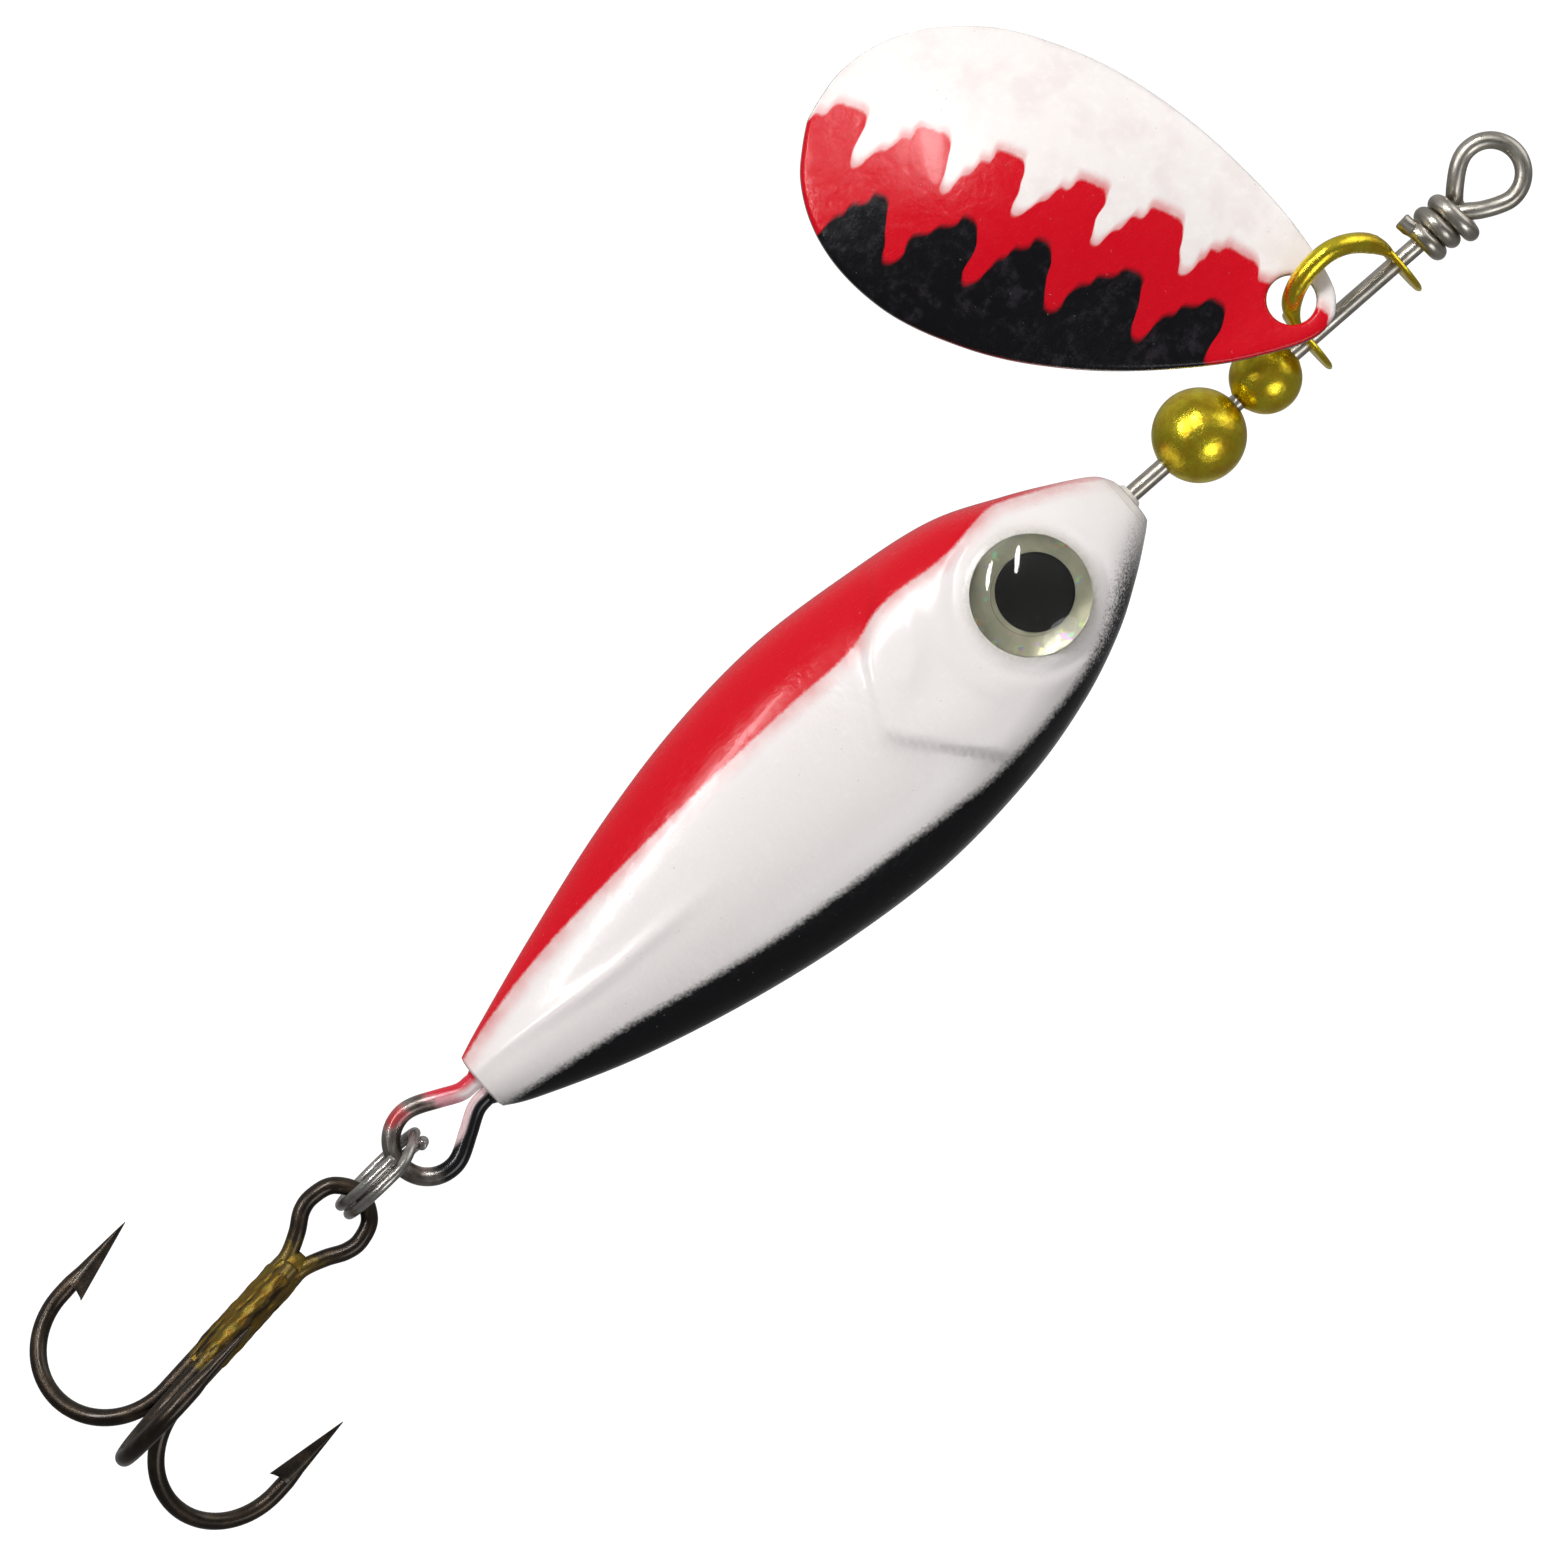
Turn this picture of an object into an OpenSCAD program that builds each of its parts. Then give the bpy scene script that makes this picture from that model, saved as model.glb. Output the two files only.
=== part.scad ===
// Inline minnow spinner: a wire shaft with a line eye, a blade on a stirrup clevis,
// two brass beads, a cast minnow body with dome eyes, a split ring and a treble hook.
// Millimetres, +Z up the shaft. The origin is on the shaft axis, in the line eye.
// -X is the minnow's back, +X its belly, and -Y its right flank.

/* [Shaft] */
// Diameter of the shaft wire
shaft_d = 0.9; // [0.8:0.05:0.9]
// Outside diameter of the line eye
line_eye_d = 4.2; // [3.9:0.1:4.4]

/* [Clevis] */
// Diameter of the clevis wire in its bow
clevis_d = 1.05; // [0.9:0.05:1.1]
// Reach of the bow from the shaft axis to the wire's centre
clevis_reach = 4.7; // [4.5:0.1:4.8]
// Turn of the bow about the shaft, from the back towards the right flank
clevis_turn = 55; // [52:1:58]

/* [Blade] */
// Length of the blade
blade_l = 28; // [26:0.2:29]
// Greatest width of the blade
blade_w = 16.2; // [14:0.1:17]
// Thickness of the blade's sheet
blade_t = 0.5; // [0.4:0.05:0.6]
// Depth of the blade's cup
blade_cup = 2.2; // [1.5:0.1:2.4]
// Diameter of the blade's hole
blade_hole_d = 2.5; // [2.4:0.1:2.6]
// Angle of the resting blade from the shaft, measured from the tail
blade_angle = 61.5; // [58:1:66]
// Roll of the blade about its length, which lifts its lower edge outwards
blade_roll = 10; // [8:1:12]

/* [Beads] */
// Diameter of the small bead
small_bead_d = 3.7; // [3.4:0.1:3.7]
// Diameter of the large bead
large_bead_d = 4.8; // [4.4:0.1:4.8]

/* [Body] */
// Length of the cast body
body_l = 43.5; // [42:0.5:44]
// Scale of the body's thickness
body_fullness = 1; // [0.96:0.01:1.06]

/* [Eyes] */
// Diameter of each dome eye
dome_d = 6.1; // [5.8:0.1:6.2]
// Diameter of the printed pupil
pupil_d = 3.8; // [3:0.1:4]

/* [Tail loop and split ring] */
// Diameter of the tail loop's wire
tail_d = 0.96; // [0.85:0.02:0.96]
// Outside diameter of the split ring
ring_d = 5.75; // [5.6:0.05:5.8]
// Diameter of the split ring's wire
ring_wire_d = 0.56; // [0.5:0.02:0.58]

/* [Treble hook] */
// Diameter of the hook wire
hook_d = 0.88; // [0.8:0.02:0.88]
// Distance from the hook's shank axis to the middle of each point's arm
hook_spread = 8.5; // [8:0.1:8.6]
// Lean of the resting hook in the plane of its eye
hook_lean = 6.5; // [4:0.5:8]
// Tilt of the resting hook's shank towards the right flank
hook_tilt = 5.5; // [3:0.5:7]

/* [Hidden] */
$fn = 48;

// Clearances
run_gap = 0.06;    // radial, where a piece turns on the shaft
cast_gap = 0.01;   // round a wire cast into the body
braze_gap = 0.01;  // round a wire in the hook's braze

// Stations on the shaft, from the line eye down
wrap_top = -2.72;
wrap_pitch = shaft_d + 0.03;
clevis_top = -6.35;
clevis_bottom = -12.28;
small_bead_z = -15.05;
large_bead_z = small_bead_z - (small_bead_d + large_bead_d) / 2 - 0.15;
nose_z = -24.2;
tail_z = nose_z - body_l;

// Colours
steel = [0.55, 0.54, 0.5];
gold = [0.8, 0.68, 0.12];
white = [0.93, 0.9, 0.9];
bronze = [0.2, 0.15, 0.13];

// ---------- Vector and path helpers ----------

function unit(v) = v / norm(v);
function reverse(v) = [for (i = [len(v) - 1:-1:0]) v[i]];
function side_of(n, t) = unit(n - (n * t) * t);
function tangent(p, i) = unit(p[min(i + 1, len(p) - 1)] - p[max(i - 1, 0)]);

// One normal for each point of a path, carried along without twist from the first
function normals(p, first) = [
    for (i = 0, n = side_of(first, tangent(p, 0)); i < len(p);
         i = i + 1, n = i < len(p) ? side_of(n, tangent(p, i)) : n) n
];

// Rows between rows: a smooth curve through every row, with steps pieces between each two
function row(r, i) = r[max(0, min(len(r) - 1, i))];
function between(a, b, c, d, t) =
    (2 * b + (c - a) * t + (2 * a - 5 * b + 4 * c - d) * t * t + (3 * b - a - 3 * c + d) * t * t * t) / 2;
function smooth(r, steps) = concat(
    [for (i = [0:len(r) - 2], k = [0:steps - 1])
        between(row(r, i - 1), row(r, i), row(r, i + 1), row(r, i + 2), k / steps)],
    [r[len(r) - 1]]
);

// An arc in the XZ plane about [x, z], from angle a to angle b
function arc_xz(centre, r, a, b, steps) = [
    for (k = [0:steps]) let (t = a + (b - a) * k / steps)
        [centre[0] + r * cos(t), 0, centre[1] + r * sin(t)]
];

// Rings round a path: half[i] is the half size along the normal and along the binormal
function rings_along(p, half, sides, first) =
    let (n = normals(p, first))
    [for (i = [0:len(p) - 1]) let (b = cross(tangent(p, i), n[i]))
        [for (k = [0:sides - 1]) let (a = 360 * (k + 0.5) / sides)
            p[i] + half[i][0] * cos(a) * n[i] + half[i][1] * sin(a) * b]];

// A closed solid through rings that all have the same number of points
module loft(rings) {
    sides = len(rings[0]);
    last = len(rings) - 1;
    walls = [for (i = [0:last - 1], k = [0:sides - 1])
        let (a = i * sides + k, b = i * sides + (k + 1) % sides)
        each [[a, a + sides, b + sides], [a, b + sides, b]]];
    polyhedron(
        [for (r = rings) each r],
        concat(
            [for (k = [1:sides - 2]) [0, k, k + 1]],
            walls,
            [for (k = [1:sides - 2]) [last * sides, last * sides + k + 1, last * sides + k]]
        )
    );
}

// Round wire along a path. Each blunt end that meets a cylinder starts thinner, inside it.
module wire(p, d, sides = 12, first = [0, 1, 0], thin = [false, false]) {
    half = [for (i = [0:len(p) - 1])
        let (s = (i == 0 && thin[0]) || (i == len(p) - 1 && thin[1]) ? 0.9 : 1)
        [d / 2 * s, d / 2 * s]];
    loft(rings_along(p, half, sides, first));
}

// ---------- Shaft ----------

shaft_end_z = nose_z - 20;
paddle = [1.7, 0.5, 2.2];   // the flattened end that keys a wire into the casting
line_eye_r = (line_eye_d - shaft_d) / 2;
line_eye_x = -0.3;
wrap_r = shaft_d + 0.02;

// The wire leaves the shaft, goes round the eye and comes down behind the shaft
eye_path = smooth(concat(
    [[0, 0, wrap_top - 0.6], [0.02, 0, wrap_top - 0.1], [0.28, -0.04, -2.15], [0.76, -0.06, -1.45]],
    arc_xz([line_eye_x, 0.15], line_eye_r, -28, 216, 9),
    [[-0.98, 0.2, -1.6], [-0.4, 0.66, -2.12]]
), 3);
// Three turns round the shaft, flatter in front, the first one wider on its right
wrap_start = 60;
wrap_flatness = 0.08;
function wrap_turns(a) = let (t = (-90 - a) / 360) t - wrap_flatness * sin(360 * t);
function wrap_bulge(a) = a > -90 ? 0.36 * pow(max(cos(a), 0), 2) : 0;
wrap_path = [for (k = [0:42]) let (a = wrap_start - 22 * k, r = wrap_r + wrap_bulge(a))
    [r * cos(a), r * sin(a), wrap_top - wrap_pitch * wrap_turns(a)]];
// The cut end stands off on the left
cut_end = [for (x = [-1.05, -1.42]) [x, -0.9, wrap_top + x / 10 - wrap_pitch * 2.12]];

module shaft_wire() color(steel) {
    translate([0, 0, shaft_end_z]) cylinder(d = shaft_d, h = wrap_top - 0.1 - shaft_end_z);
    translate([0, 0, shaft_end_z]) cube(paddle, center = true);
    wire(concat(eye_path, wrap_path, cut_end), shaft_d, thin = [true, false]);
}

// ---------- Clevis ----------

tab_t = 0.32;
tab_r = 1.87;

// The bow in its own plane, as [distance from the shaft, height]
bow_half_h = (clevis_top - clevis_bottom) / 2;
bow_mid_z = (clevis_top + clevis_bottom) / 2;
bow_root = 1.1;      // where the bow leaves each tab
bow_lean = [1.35, 0.75];   // how slowly the bow swells out of the upper and of the lower tab
bow_path = [for (k = [0:20]) let (t = 90 - 9 * k)
    [-bow_root - (clevis_reach - bow_root) * pow(max(cos(t), 0), bow_lean[t < 0 ? 1 : 0]), 0,
     bow_mid_z + bow_half_h * sin(t)]];
bow_half = [for (k = [0:20]) let (s = min(1, 0.32 + sin(9 * k) * 1.1))
    [clevis_d / 2 * (1.25 - 0.25 * s), clevis_d / 2 * s]];

module clevis_tab(z) {
    translate([0, 0, z]) difference() {
        for (s = [0, 1]) mirror([0, 0, s]) cylinder(r1 = tab_r, r2 = tab_r - 0.12, h = tab_t / 2);
        cylinder(r = shaft_d / 2 + run_gap, h = 2, center = true);
    }
}

module clevis() color(gold) rotate([0, 0, clevis_turn]) {
    clevis_tab(clevis_top);
    clevis_tab(clevis_bottom);
    loft(rings_along(bow_path, bow_half, 12, [0, 1, 0]));
}

// ---------- Blade ----------

// Hole centre in the assembly, and how far the blade's inner end is past it
blade_at = [-2.05, -2.9, -11.72];
blade_heel = 2.3;

// Half width of the blade at a distance along it, as shares of its length and half width
blade_rows = smooth([
    [0, 0], [0.012, 0.13], [0.05, 0.27], [0.14, 0.49], [0.24, 0.67], [0.36, 0.84], [0.5, 0.965],
    [0.62, 1], [0.74, 0.965], [0.85, 0.82], [0.93, 0.6], [0.98, 0.32], [1, 0]
], 2);

blade_flat = 0.15;   // share of the length that stays flat, round the hole
blade_strips = 14;
function blade_rise(s) =
    s < blade_flat ? 0 : blade_cup * pow(sin(180 * pow((s - blade_flat) / (1 - blade_flat), 1.12)), 1.1);

// A section of the cup at a share of its length, from edge to edge and back
function blade_section(s) = let (half = lookup(s, blade_rows) * blade_w / 2) [
    for (side = [-1, 1], k = [0:blade_strips])
        let (across = side * (2 * k / blade_strips - 1))
        [s * blade_l - blade_heel, half * across,
         blade_rise(s) * (1 - across * across) + side * blade_t / 2]
];

// A closed sheet through sections that run along its one face and back along the other
module sheet(rings) {
    sides = len(rings[0]);
    last = len(rings) - 1;
    walls = [for (i = [0:last - 1], k = [0:sides - 1])
        let (a = i * sides + k, b = i * sides + (k + 1) % sides)
        each [[a, a + sides, b + sides], [a, b + sides, b]]];
    ends = [for (k = [0:sides / 2 - 2]) let (j = sides - 1 - k, z = last * sides)
        each [[k, k + 1, j - 1], [k, j - 1, j], [z + k, z + j - 1, z + k + 1], [z + k, z + j, z + j - 1]]];
    polyhedron([for (r = rings) each r], concat(ends, walls));
}

module blade() color(white) translate(blade_at)
    rotate([0, blade_angle - 90, 0]) rotate([90, 0, 0]) rotate([0, 0, 180]) rotate([blade_roll, 0, 0])
    difference() {
        sheet([for (r = blade_rows) if (r[0] > 0.001 && r[0] < 0.999) blade_section(r[0])]);
        translate([0, 0, -2]) cylinder(d = blade_hole_d, h = 4);
    }

// ---------- Beads ----------

module bead(d, z) color(gold) translate([0, 0, z]) difference() {
    intersection() {
        sphere(d = d);
        cube([d, d, d * 0.985], center = true);
    }
    cylinder(r = shaft_d / 2 + run_gap, h = d + 1, center = true);
}

module small_bead() bead(small_bead_d, small_bead_z);
module large_bead() bead(large_bead_d, large_bead_z);

// ---------- Body casting ----------

// Down the body from nose to tail: share of its length, half width, centre of the width,
// half thickness, and the section's power (2 is an ellipse, less is closer to a rhombus)
body_rows = [
    [0, 1.3, 0.2, 1.1, 2.2],
    [0.014, 1.98, 0.05, 1.6, 2.3],
    [0.053, 3.12, 0.17, 2.5, 2.4],
    [0.11, 4.5, 0.3, 3.4, 2.5],
    [0.19, 5.93, 0.3, 4.1, 2.4],
    [0.294, 6.83, 0.5, 4.45, 2.2],
    [0.432, 7.33, 0.57, 4.6, 2.1],
    [0.57, 6.88, 0.65, 4.3, 2.0],
    [0.708, 5.75, 0.8, 3.65, 1.9],
    [0.846, 4.1, 0.95, 2.8, 1.8],
    [0.961, 2.35, 0.9, 1.85, 1.8],
    [1, 1.6, 0.8, 1.3, 1.9]
];
body_sides = 40;

function curved(v, power) = sign(v) * pow(abs(v), 2 / power);
function body_ring(r) = [for (k = [0:body_sides - 1]) let (a = 360 * k / body_sides)
    [r[2] + r[1] * curved(cos(a), r[4]), r[3] * body_fullness * curved(sin(a), r[4]),
     nose_z - r[0] * body_l]];

collar_h = 0.25;   // the paint and metal drawn up round the shaft at the nose

module body_casting() color(white) difference() {
    union() {
        loft([for (r = smooth(body_rows, 3)) body_ring(r)]);
        translate([0, 0, nose_z - 0.1]) cylinder(r1 = 0.95, r2 = 0.62, h = collar_h + 0.1);
    }
    translate([0, 0, shaft_end_z]) cylinder(r = shaft_d / 2 + cast_gap, h = 22);
    translate([0, 0, shaft_end_z]) cube(paddle + 2 * cast_gap * [1, 1, 1], center = true);
    for (s = [-1, 1]) {
        eye_place(s) translate([0, 0, -eye_floor]) cylinder(d = dome_d + 0.1, h = 4);
        translate([tail_x + s * tail_leg_x, 0, tail_z - 1])
            cylinder(r = tail_d / 2 + cast_gap, h = tail_buried + 1);
        translate([tail_x + s * tail_leg_x, 0, tail_z + tail_buried])
            cube(tail_paddle + 2 * cast_gap * [1, 1, 1], center = true);
    }
}

// ---------- Dome eyes ----------

eye_at = [0.5, 3.7, nose_z - 6.95];   // on the flank, at the casting's surface
eye_floor = 0.5;                      // how far the socket's flat floor is below that
pad_t = 0.2;
foil_t = 0.1;
pupil_t = 0.08;
pupil_up = 0.25;   // the pupil is printed a little nearer the nose than the dome's centre
dome_edge = 0.4;
dome_rise = 0.85;
dome_r = (pow(dome_d / 2, 2) + pow(dome_rise, 2)) / (2 * dome_rise);

// Puts an eye on the right flank (s = 1, at -Y) or the left one (s = -1), facing outwards
module eye_place(s) {
    translate([eye_at[0], -s * eye_at[1], eye_at[2]]) rotate([s * 90, 0, 0]) children();
}

module eye_disc(s, d, above_floor, t) {
    eye_place(s) translate([0, 0, above_floor - eye_floor]) cylinder(d = d, h = t);
}

module eye_pad(s) color([0.85, 0.85, 0.8]) eye_disc(s, dome_d - 0.3, 0.01, pad_t);
module eye_foil(s) color([0.6, 0.62, 0.5]) eye_disc(s, dome_d - 0.1, pad_t + 0.02, foil_t);
module eye_pupil(s) color("black") translate([0, 0, pupil_up])
    eye_disc(s, pupil_d, pad_t + foil_t + 0.03, pupil_t);

module eye_dome(s) color([0.8, 0.85, 0.7, 0.35]) {
    base = pad_t + foil_t + 0.03 - eye_floor;
    eye_place(s) difference() {
        intersection() {
            translate([0, 0, base]) cylinder(d = dome_d, h = dome_edge + dome_rise + 1);
            translate([0, 0, base + dome_edge + dome_rise - dome_r]) sphere(r = dome_r);
        }
        translate([0, s * pupil_up, base - 1]) cylinder(d = pupil_d + 0.04, h = 1 + pupil_t + 0.02);
    }
}

// ---------- Tail loop ----------

tail_x = 1;              // the loop's centre line, past the shaft's
tail_leg_x = 0.5;
tail_buried = 10;
tail_paddle = [0.5, 1.6, 2];
tail_loop_r = 1.83;
tail_loop_z = tail_z - 4;

tail_path = smooth(concat(
    [[tail_x - tail_leg_x, 0, tail_z + 0.5], [tail_x - tail_leg_x, 0, tail_z - 0.5],
     [tail_x - tail_leg_x - 0.05, 0, tail_z - 1.2], [tail_x - tail_leg_x - 0.5, 0, tail_z - 2.2]],
    arc_xz([tail_x + 0.2, tail_loop_z], tail_loop_r, 158, 382, 9),
    [[tail_x + tail_leg_x + 0.75, 0, tail_z - 2.2], [tail_x + tail_leg_x + 0.15, 0, tail_z - 1.2],
     [tail_x + tail_leg_x, 0, tail_z - 0.5], [tail_x + tail_leg_x, 0, tail_z + 0.5]]
), 3);

module tail_loop() color(steel) {
    for (s = [-1, 1]) translate([tail_x + s * tail_leg_x, 0, 0]) {
        translate([0, 0, tail_z - 0.2]) cylinder(d = tail_d, h = tail_buried + 0.2);
        translate([0, 0, tail_z + tail_buried]) cube(tail_paddle, center = true);
    }
    wire(tail_path, tail_d, thin = [true, true]);
}

// ---------- Split ring ----------

ring_at = [0.95, 0, tail_z - 6.8];
ring_r = (ring_d - ring_wire_d) / 2;
ring_step = ring_wire_d / 2 + 0.02;   // each turn's offset from the ring's middle plane
ring_lean = 3;
ring_turn = 4;

// Two flat turns, with one short crossing between them
ring_path = [for (a = [28:12:700]) let (cross = (a - 360) / 26)
    [ring_step * max(-1, min(1, cross)), ring_r * cos(a + 130), ring_r * sin(a + 130)]];

module split_ring() color(steel)
    translate(ring_at) rotate([0, -ring_lean, ring_turn])
    wire(ring_path, ring_wire_d, sides = 10, first = [1, 0, 0]);

// ---------- Treble hook ----------

// In the hook's own frame the shank runs down Z, and z is 0 at the wire of the split ring
hook_at = [1.05, 0, tail_z - 9.4];
hook_azimuths = [153.5, 33.5, 273.5];   // the two points of the bent pair, then the single hook
shank_r = 0.53;                            // from the shank's axis to each wire's centre
bend_r = (hook_spread - shank_r) / 2;
bend_z = -16.6 + bend_r;
hook_tip = [hook_spread + 0.1, -7.7];
barb_z = bend_z + 0.4;

// From the shank round the bend to the tip, in a half plane of [distance from the axis, z]
hook_side = concat(
    [for (k = [0:14]) let (a = 180 + 180 * k / 14)
        [shank_r + bend_r + bend_r * cos(a), bend_z + bend_r * sin(a)]],
    [[hook_spread + 0.02, bend_z + 1.2], [hook_spread + 0.08, bend_z + 2.6], hook_tip]
);
hook_taper = [for (i = [0:len(hook_side) - 1]) [1, 1, 0.86, 0.55, 0.05][max(0, i - len(hook_side) + 5)]];

function turned(p, az) = [p[0] * cos(az), p[0] * sin(az), p[1]];
function hook_points(az) = [for (p = hook_side) turned(p, az)];
function hook_sizes() = [for (s = hook_taper) hook_d / 2 * [s, s]];

// The eye, from the left shank wire over the ring and down to the right one
hook_eye_path = smooth([
    turned([shank_r, -10], hook_azimuths[0]), turned([shank_r, -7], hook_azimuths[0]),
    turned([shank_r, -4.6], hook_azimuths[0]), turned([shank_r + 0.03, -3.6], hook_azimuths[0]),
    [-0.95, 0.1, -2.45], [-1.5, 0, -1.5], [-1.6, 0, -0.6],
    [-1.2, 0, 0.5], [0.02, 0, 1.12],
    [1.26, 0, 0.5], [1.66, 0, -0.6], [1.5, 0, -1.5], [0.95, 0.1, -2.45],
    turned([shank_r + 0.03, -3.6], hook_azimuths[1]), turned([shank_r, -4.6], hook_azimuths[1]),
    turned([shank_r, -7], hook_azimuths[1]),
    turned([shank_r, -10], hook_azimuths[1])
], 4);

module hook_place() translate(hook_at) rotate([0, -hook_lean, 0]) rotate([-hook_tilt, 0, 0]) children();

// The barb, cut up from the inside of the arm and standing towards the shank
module barb(az) {
    w = hook_d * 0.28;
    p = [[hook_spread - 0.95, -w, barb_z - 0.45], [hook_spread - 0.95, w, barb_z - 0.45],
         [hook_spread - 0.1, -w, barb_z + 0.05], [hook_spread - 0.1, w, barb_z + 0.05],
         [hook_spread + 0.05, -w * 0.5, barb_z + 3.2], [hook_spread + 0.05, w * 0.5, barb_z + 3.2]];
    rotate([0, 0, az]) hull() polyhedron(p, [[0, 1, 3], [0, 3, 2], [0, 2, 4], [1, 5, 3], [0, 4, 5], [0, 5, 1],
                                             [2, 3, 5], [2, 5, 4]]);
}

module treble_double_hook() color(bronze) hook_place() {
    left = hook_points(hook_azimuths[0]);
    right = hook_points(hook_azimuths[1]);
    path = concat(reverse(left), hook_eye_path, right);
    half = concat(reverse(hook_sizes()), [for (p = hook_eye_path) hook_d / 2 * [1, 1]], hook_sizes());
    loft(rings_along(path, half, 10, [0, 1, 0]));
    for (i = [0, 1]) barb(hook_azimuths[i]);
}

single_top = -3.9;

module treble_single_hook() color(bronze) hook_place() {
    az = hook_azimuths[2];
    path = concat([turned([shank_r, single_top], az), turned([shank_r, -9], az)], hook_points(az));
    half = concat(hook_d / 2 * [[1, 1], [1, 1]], hook_sizes());
    loft(rings_along(path, half, 10, [cos(az), sin(az), 0]));
    barb(az);
}

braze_top = -4.6;
braze_bottom = -10.5;
braze_skin = 0.08;

module treble_braze() color(gold) hook_place() {
    translate([0, 0, braze_bottom]) linear_extrude(braze_top - braze_bottom) difference() {
        hull() for (az = hook_azimuths)
            translate(shank_r * [cos(az), sin(az)]) circle(r = hook_d / 2 + braze_skin);
        for (az = hook_azimuths)
            translate(shank_r * [cos(az), sin(az)]) circle(r = hook_d / 2 + braze_gap);
    }
}

// ---------- Nodes ----------

shaft_wire();
blade();
clevis();
small_bead();
large_bead();
body_casting();
tail_loop();
eye_pad(1);  // right_eye_pad
eye_foil(1);  // right_eye_foil
eye_pupil(1);  // right_eye_pupil
eye_dome(1);  // right_eye_dome
eye_pad(-1);  // left_eye_pad
eye_foil(-1);  // left_eye_foil
eye_pupil(-1);  // left_eye_pupil
eye_dome(-1);  // left_eye_dome
split_ring();
treble_double_hook();
treble_single_hook();
treble_braze();
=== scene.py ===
"""Looks for the minnow spinner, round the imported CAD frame. Shape code works in millimetres."""

import math

import bmesh
import bpy
from mathutils import Matrix, Vector, geometry


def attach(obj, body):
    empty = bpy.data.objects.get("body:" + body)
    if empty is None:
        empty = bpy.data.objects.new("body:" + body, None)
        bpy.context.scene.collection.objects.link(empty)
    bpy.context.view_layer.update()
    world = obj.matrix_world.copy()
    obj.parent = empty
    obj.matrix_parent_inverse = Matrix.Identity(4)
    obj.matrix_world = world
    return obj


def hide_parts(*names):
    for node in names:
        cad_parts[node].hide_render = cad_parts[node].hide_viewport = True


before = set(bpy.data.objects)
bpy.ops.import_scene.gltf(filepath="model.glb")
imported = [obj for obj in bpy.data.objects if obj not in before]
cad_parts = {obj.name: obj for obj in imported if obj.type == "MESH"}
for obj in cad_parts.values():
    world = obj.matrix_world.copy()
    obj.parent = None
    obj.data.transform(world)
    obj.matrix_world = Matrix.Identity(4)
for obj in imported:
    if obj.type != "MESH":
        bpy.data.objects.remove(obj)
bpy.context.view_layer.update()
scene = bpy.context.scene
MM = 0.001


def turned_about(axis, degrees):
    return Matrix.Rotation(math.radians(degrees), 3, axis)


# ---------------- sizes shared with the CAD model
NOSE_Z = -24.2
BODY_L = 43.5
TAIL_Z = NOSE_Z - BODY_L
SHAFT_R = 0.45
BORE_R = 0.51
WRAP_TOP = -2.72
WRAP_PITCH = 0.93
WRAP_R = 0.92
CLEVIS_TURN = turned_about("Z", 55)
CLEVIS_TOP = -6.35
CLEVIS_BOTTOM = -12.28
BOW_START = 1.1
BOW_REACH = 3.6
BOW_R = 0.525
BEADS = (("small_bead", 1.85, -15.05), ("large_bead", 2.4, -19.45))   # name, radius, height
BLADE_L = 28.0
BLADE_W = 16.2
BLADE_T = 0.5
BLADE_CUP = 2.2
BLADE_HEEL = 2.3
BLADE_FLAT = 0.15
BLADE_HOLE_R = 1.25
BLADE_AT = Vector((-2.05, -2.9, -11.72))
BLADE_TURN = (
    turned_about("Y", 61.5 - 90) @ turned_about("X", 90) @ turned_about("Z", 180) @ turned_about("X", 10)
)
LOOP_R = 0.48
LEGS = (0.5, 1.5)   # where the legs of the tail loop leave the body
RING_AT = Vector((0.95, 0, TAIL_Z - 6.8))
RING_TURN = turned_about("Z", 4) @ turned_about("Y", -3)
RING_R = 2.595
RING_WIRE_R = 0.28
HOOK_AT = Vector((1.05, 0, TAIL_Z - 9.4))
HOOK_TURN = turned_about("Y", -6.5) @ turned_about("X", -5.5)
HOOK_AZIMUTHS = (153.5, 33.5, 273.5)   # the bent pair, then the single hook
HOOK_R = 0.44
HOOK_SPREAD = 8.5
SHANK_R = 0.53
BEND_R = (HOOK_SPREAD - SHANK_R) / 2
BEND_Z = -16.6 + BEND_R
POINT_TIP = -7.7
BARB_Z = -12.15
EYE_X, EYE_Y, EYE_Z = 0.5, 3.7, NOSE_Z - 6.95
DOME_R = 3.05
DOME_BASE = -0.17
DOME_RIM = 0.4
DOME_RISE = 0.85
DOME_RECESS = 0.11
PUPIL_R = 1.9
SOCKET_R = 3.09
SOCKET_FLOOR = -0.5

# ---------------- curves and meshes

JOIN_DISTANCE = 1e-7   # metres
CHAMFER = ((0.05, 0.9), (0.08, 0.72))   # beyond a cut wire's end: distance, share of its size


def smooth(rows, steps):
    """A curve through every row, with steps pieces between each two."""

    def blend(p, q, r, s, t):
        cubic = (3 * q - p - 3 * r + s) * t**3
        return (2 * q + (r - p) * t + (2 * p - 5 * q + 4 * r - s) * t * t + cubic) / 2

    out, n = [], len(rows)
    for i in range(n - 1):
        near = [rows[max(0, min(n - 1, j))] for j in (i - 1, i, i + 1, i + 2)]
        for k in range(steps):
            out.append([blend(*values, k / steps) for values in zip(*near)])
    return out + [list(rows[-1])]


def step(low, high, value):
    """0 below low, 1 above high, and smooth between."""
    t = max(0.0, min(1.0, (value - low) / (high - low)))
    return t * t * (3 - 2 * t)


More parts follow.
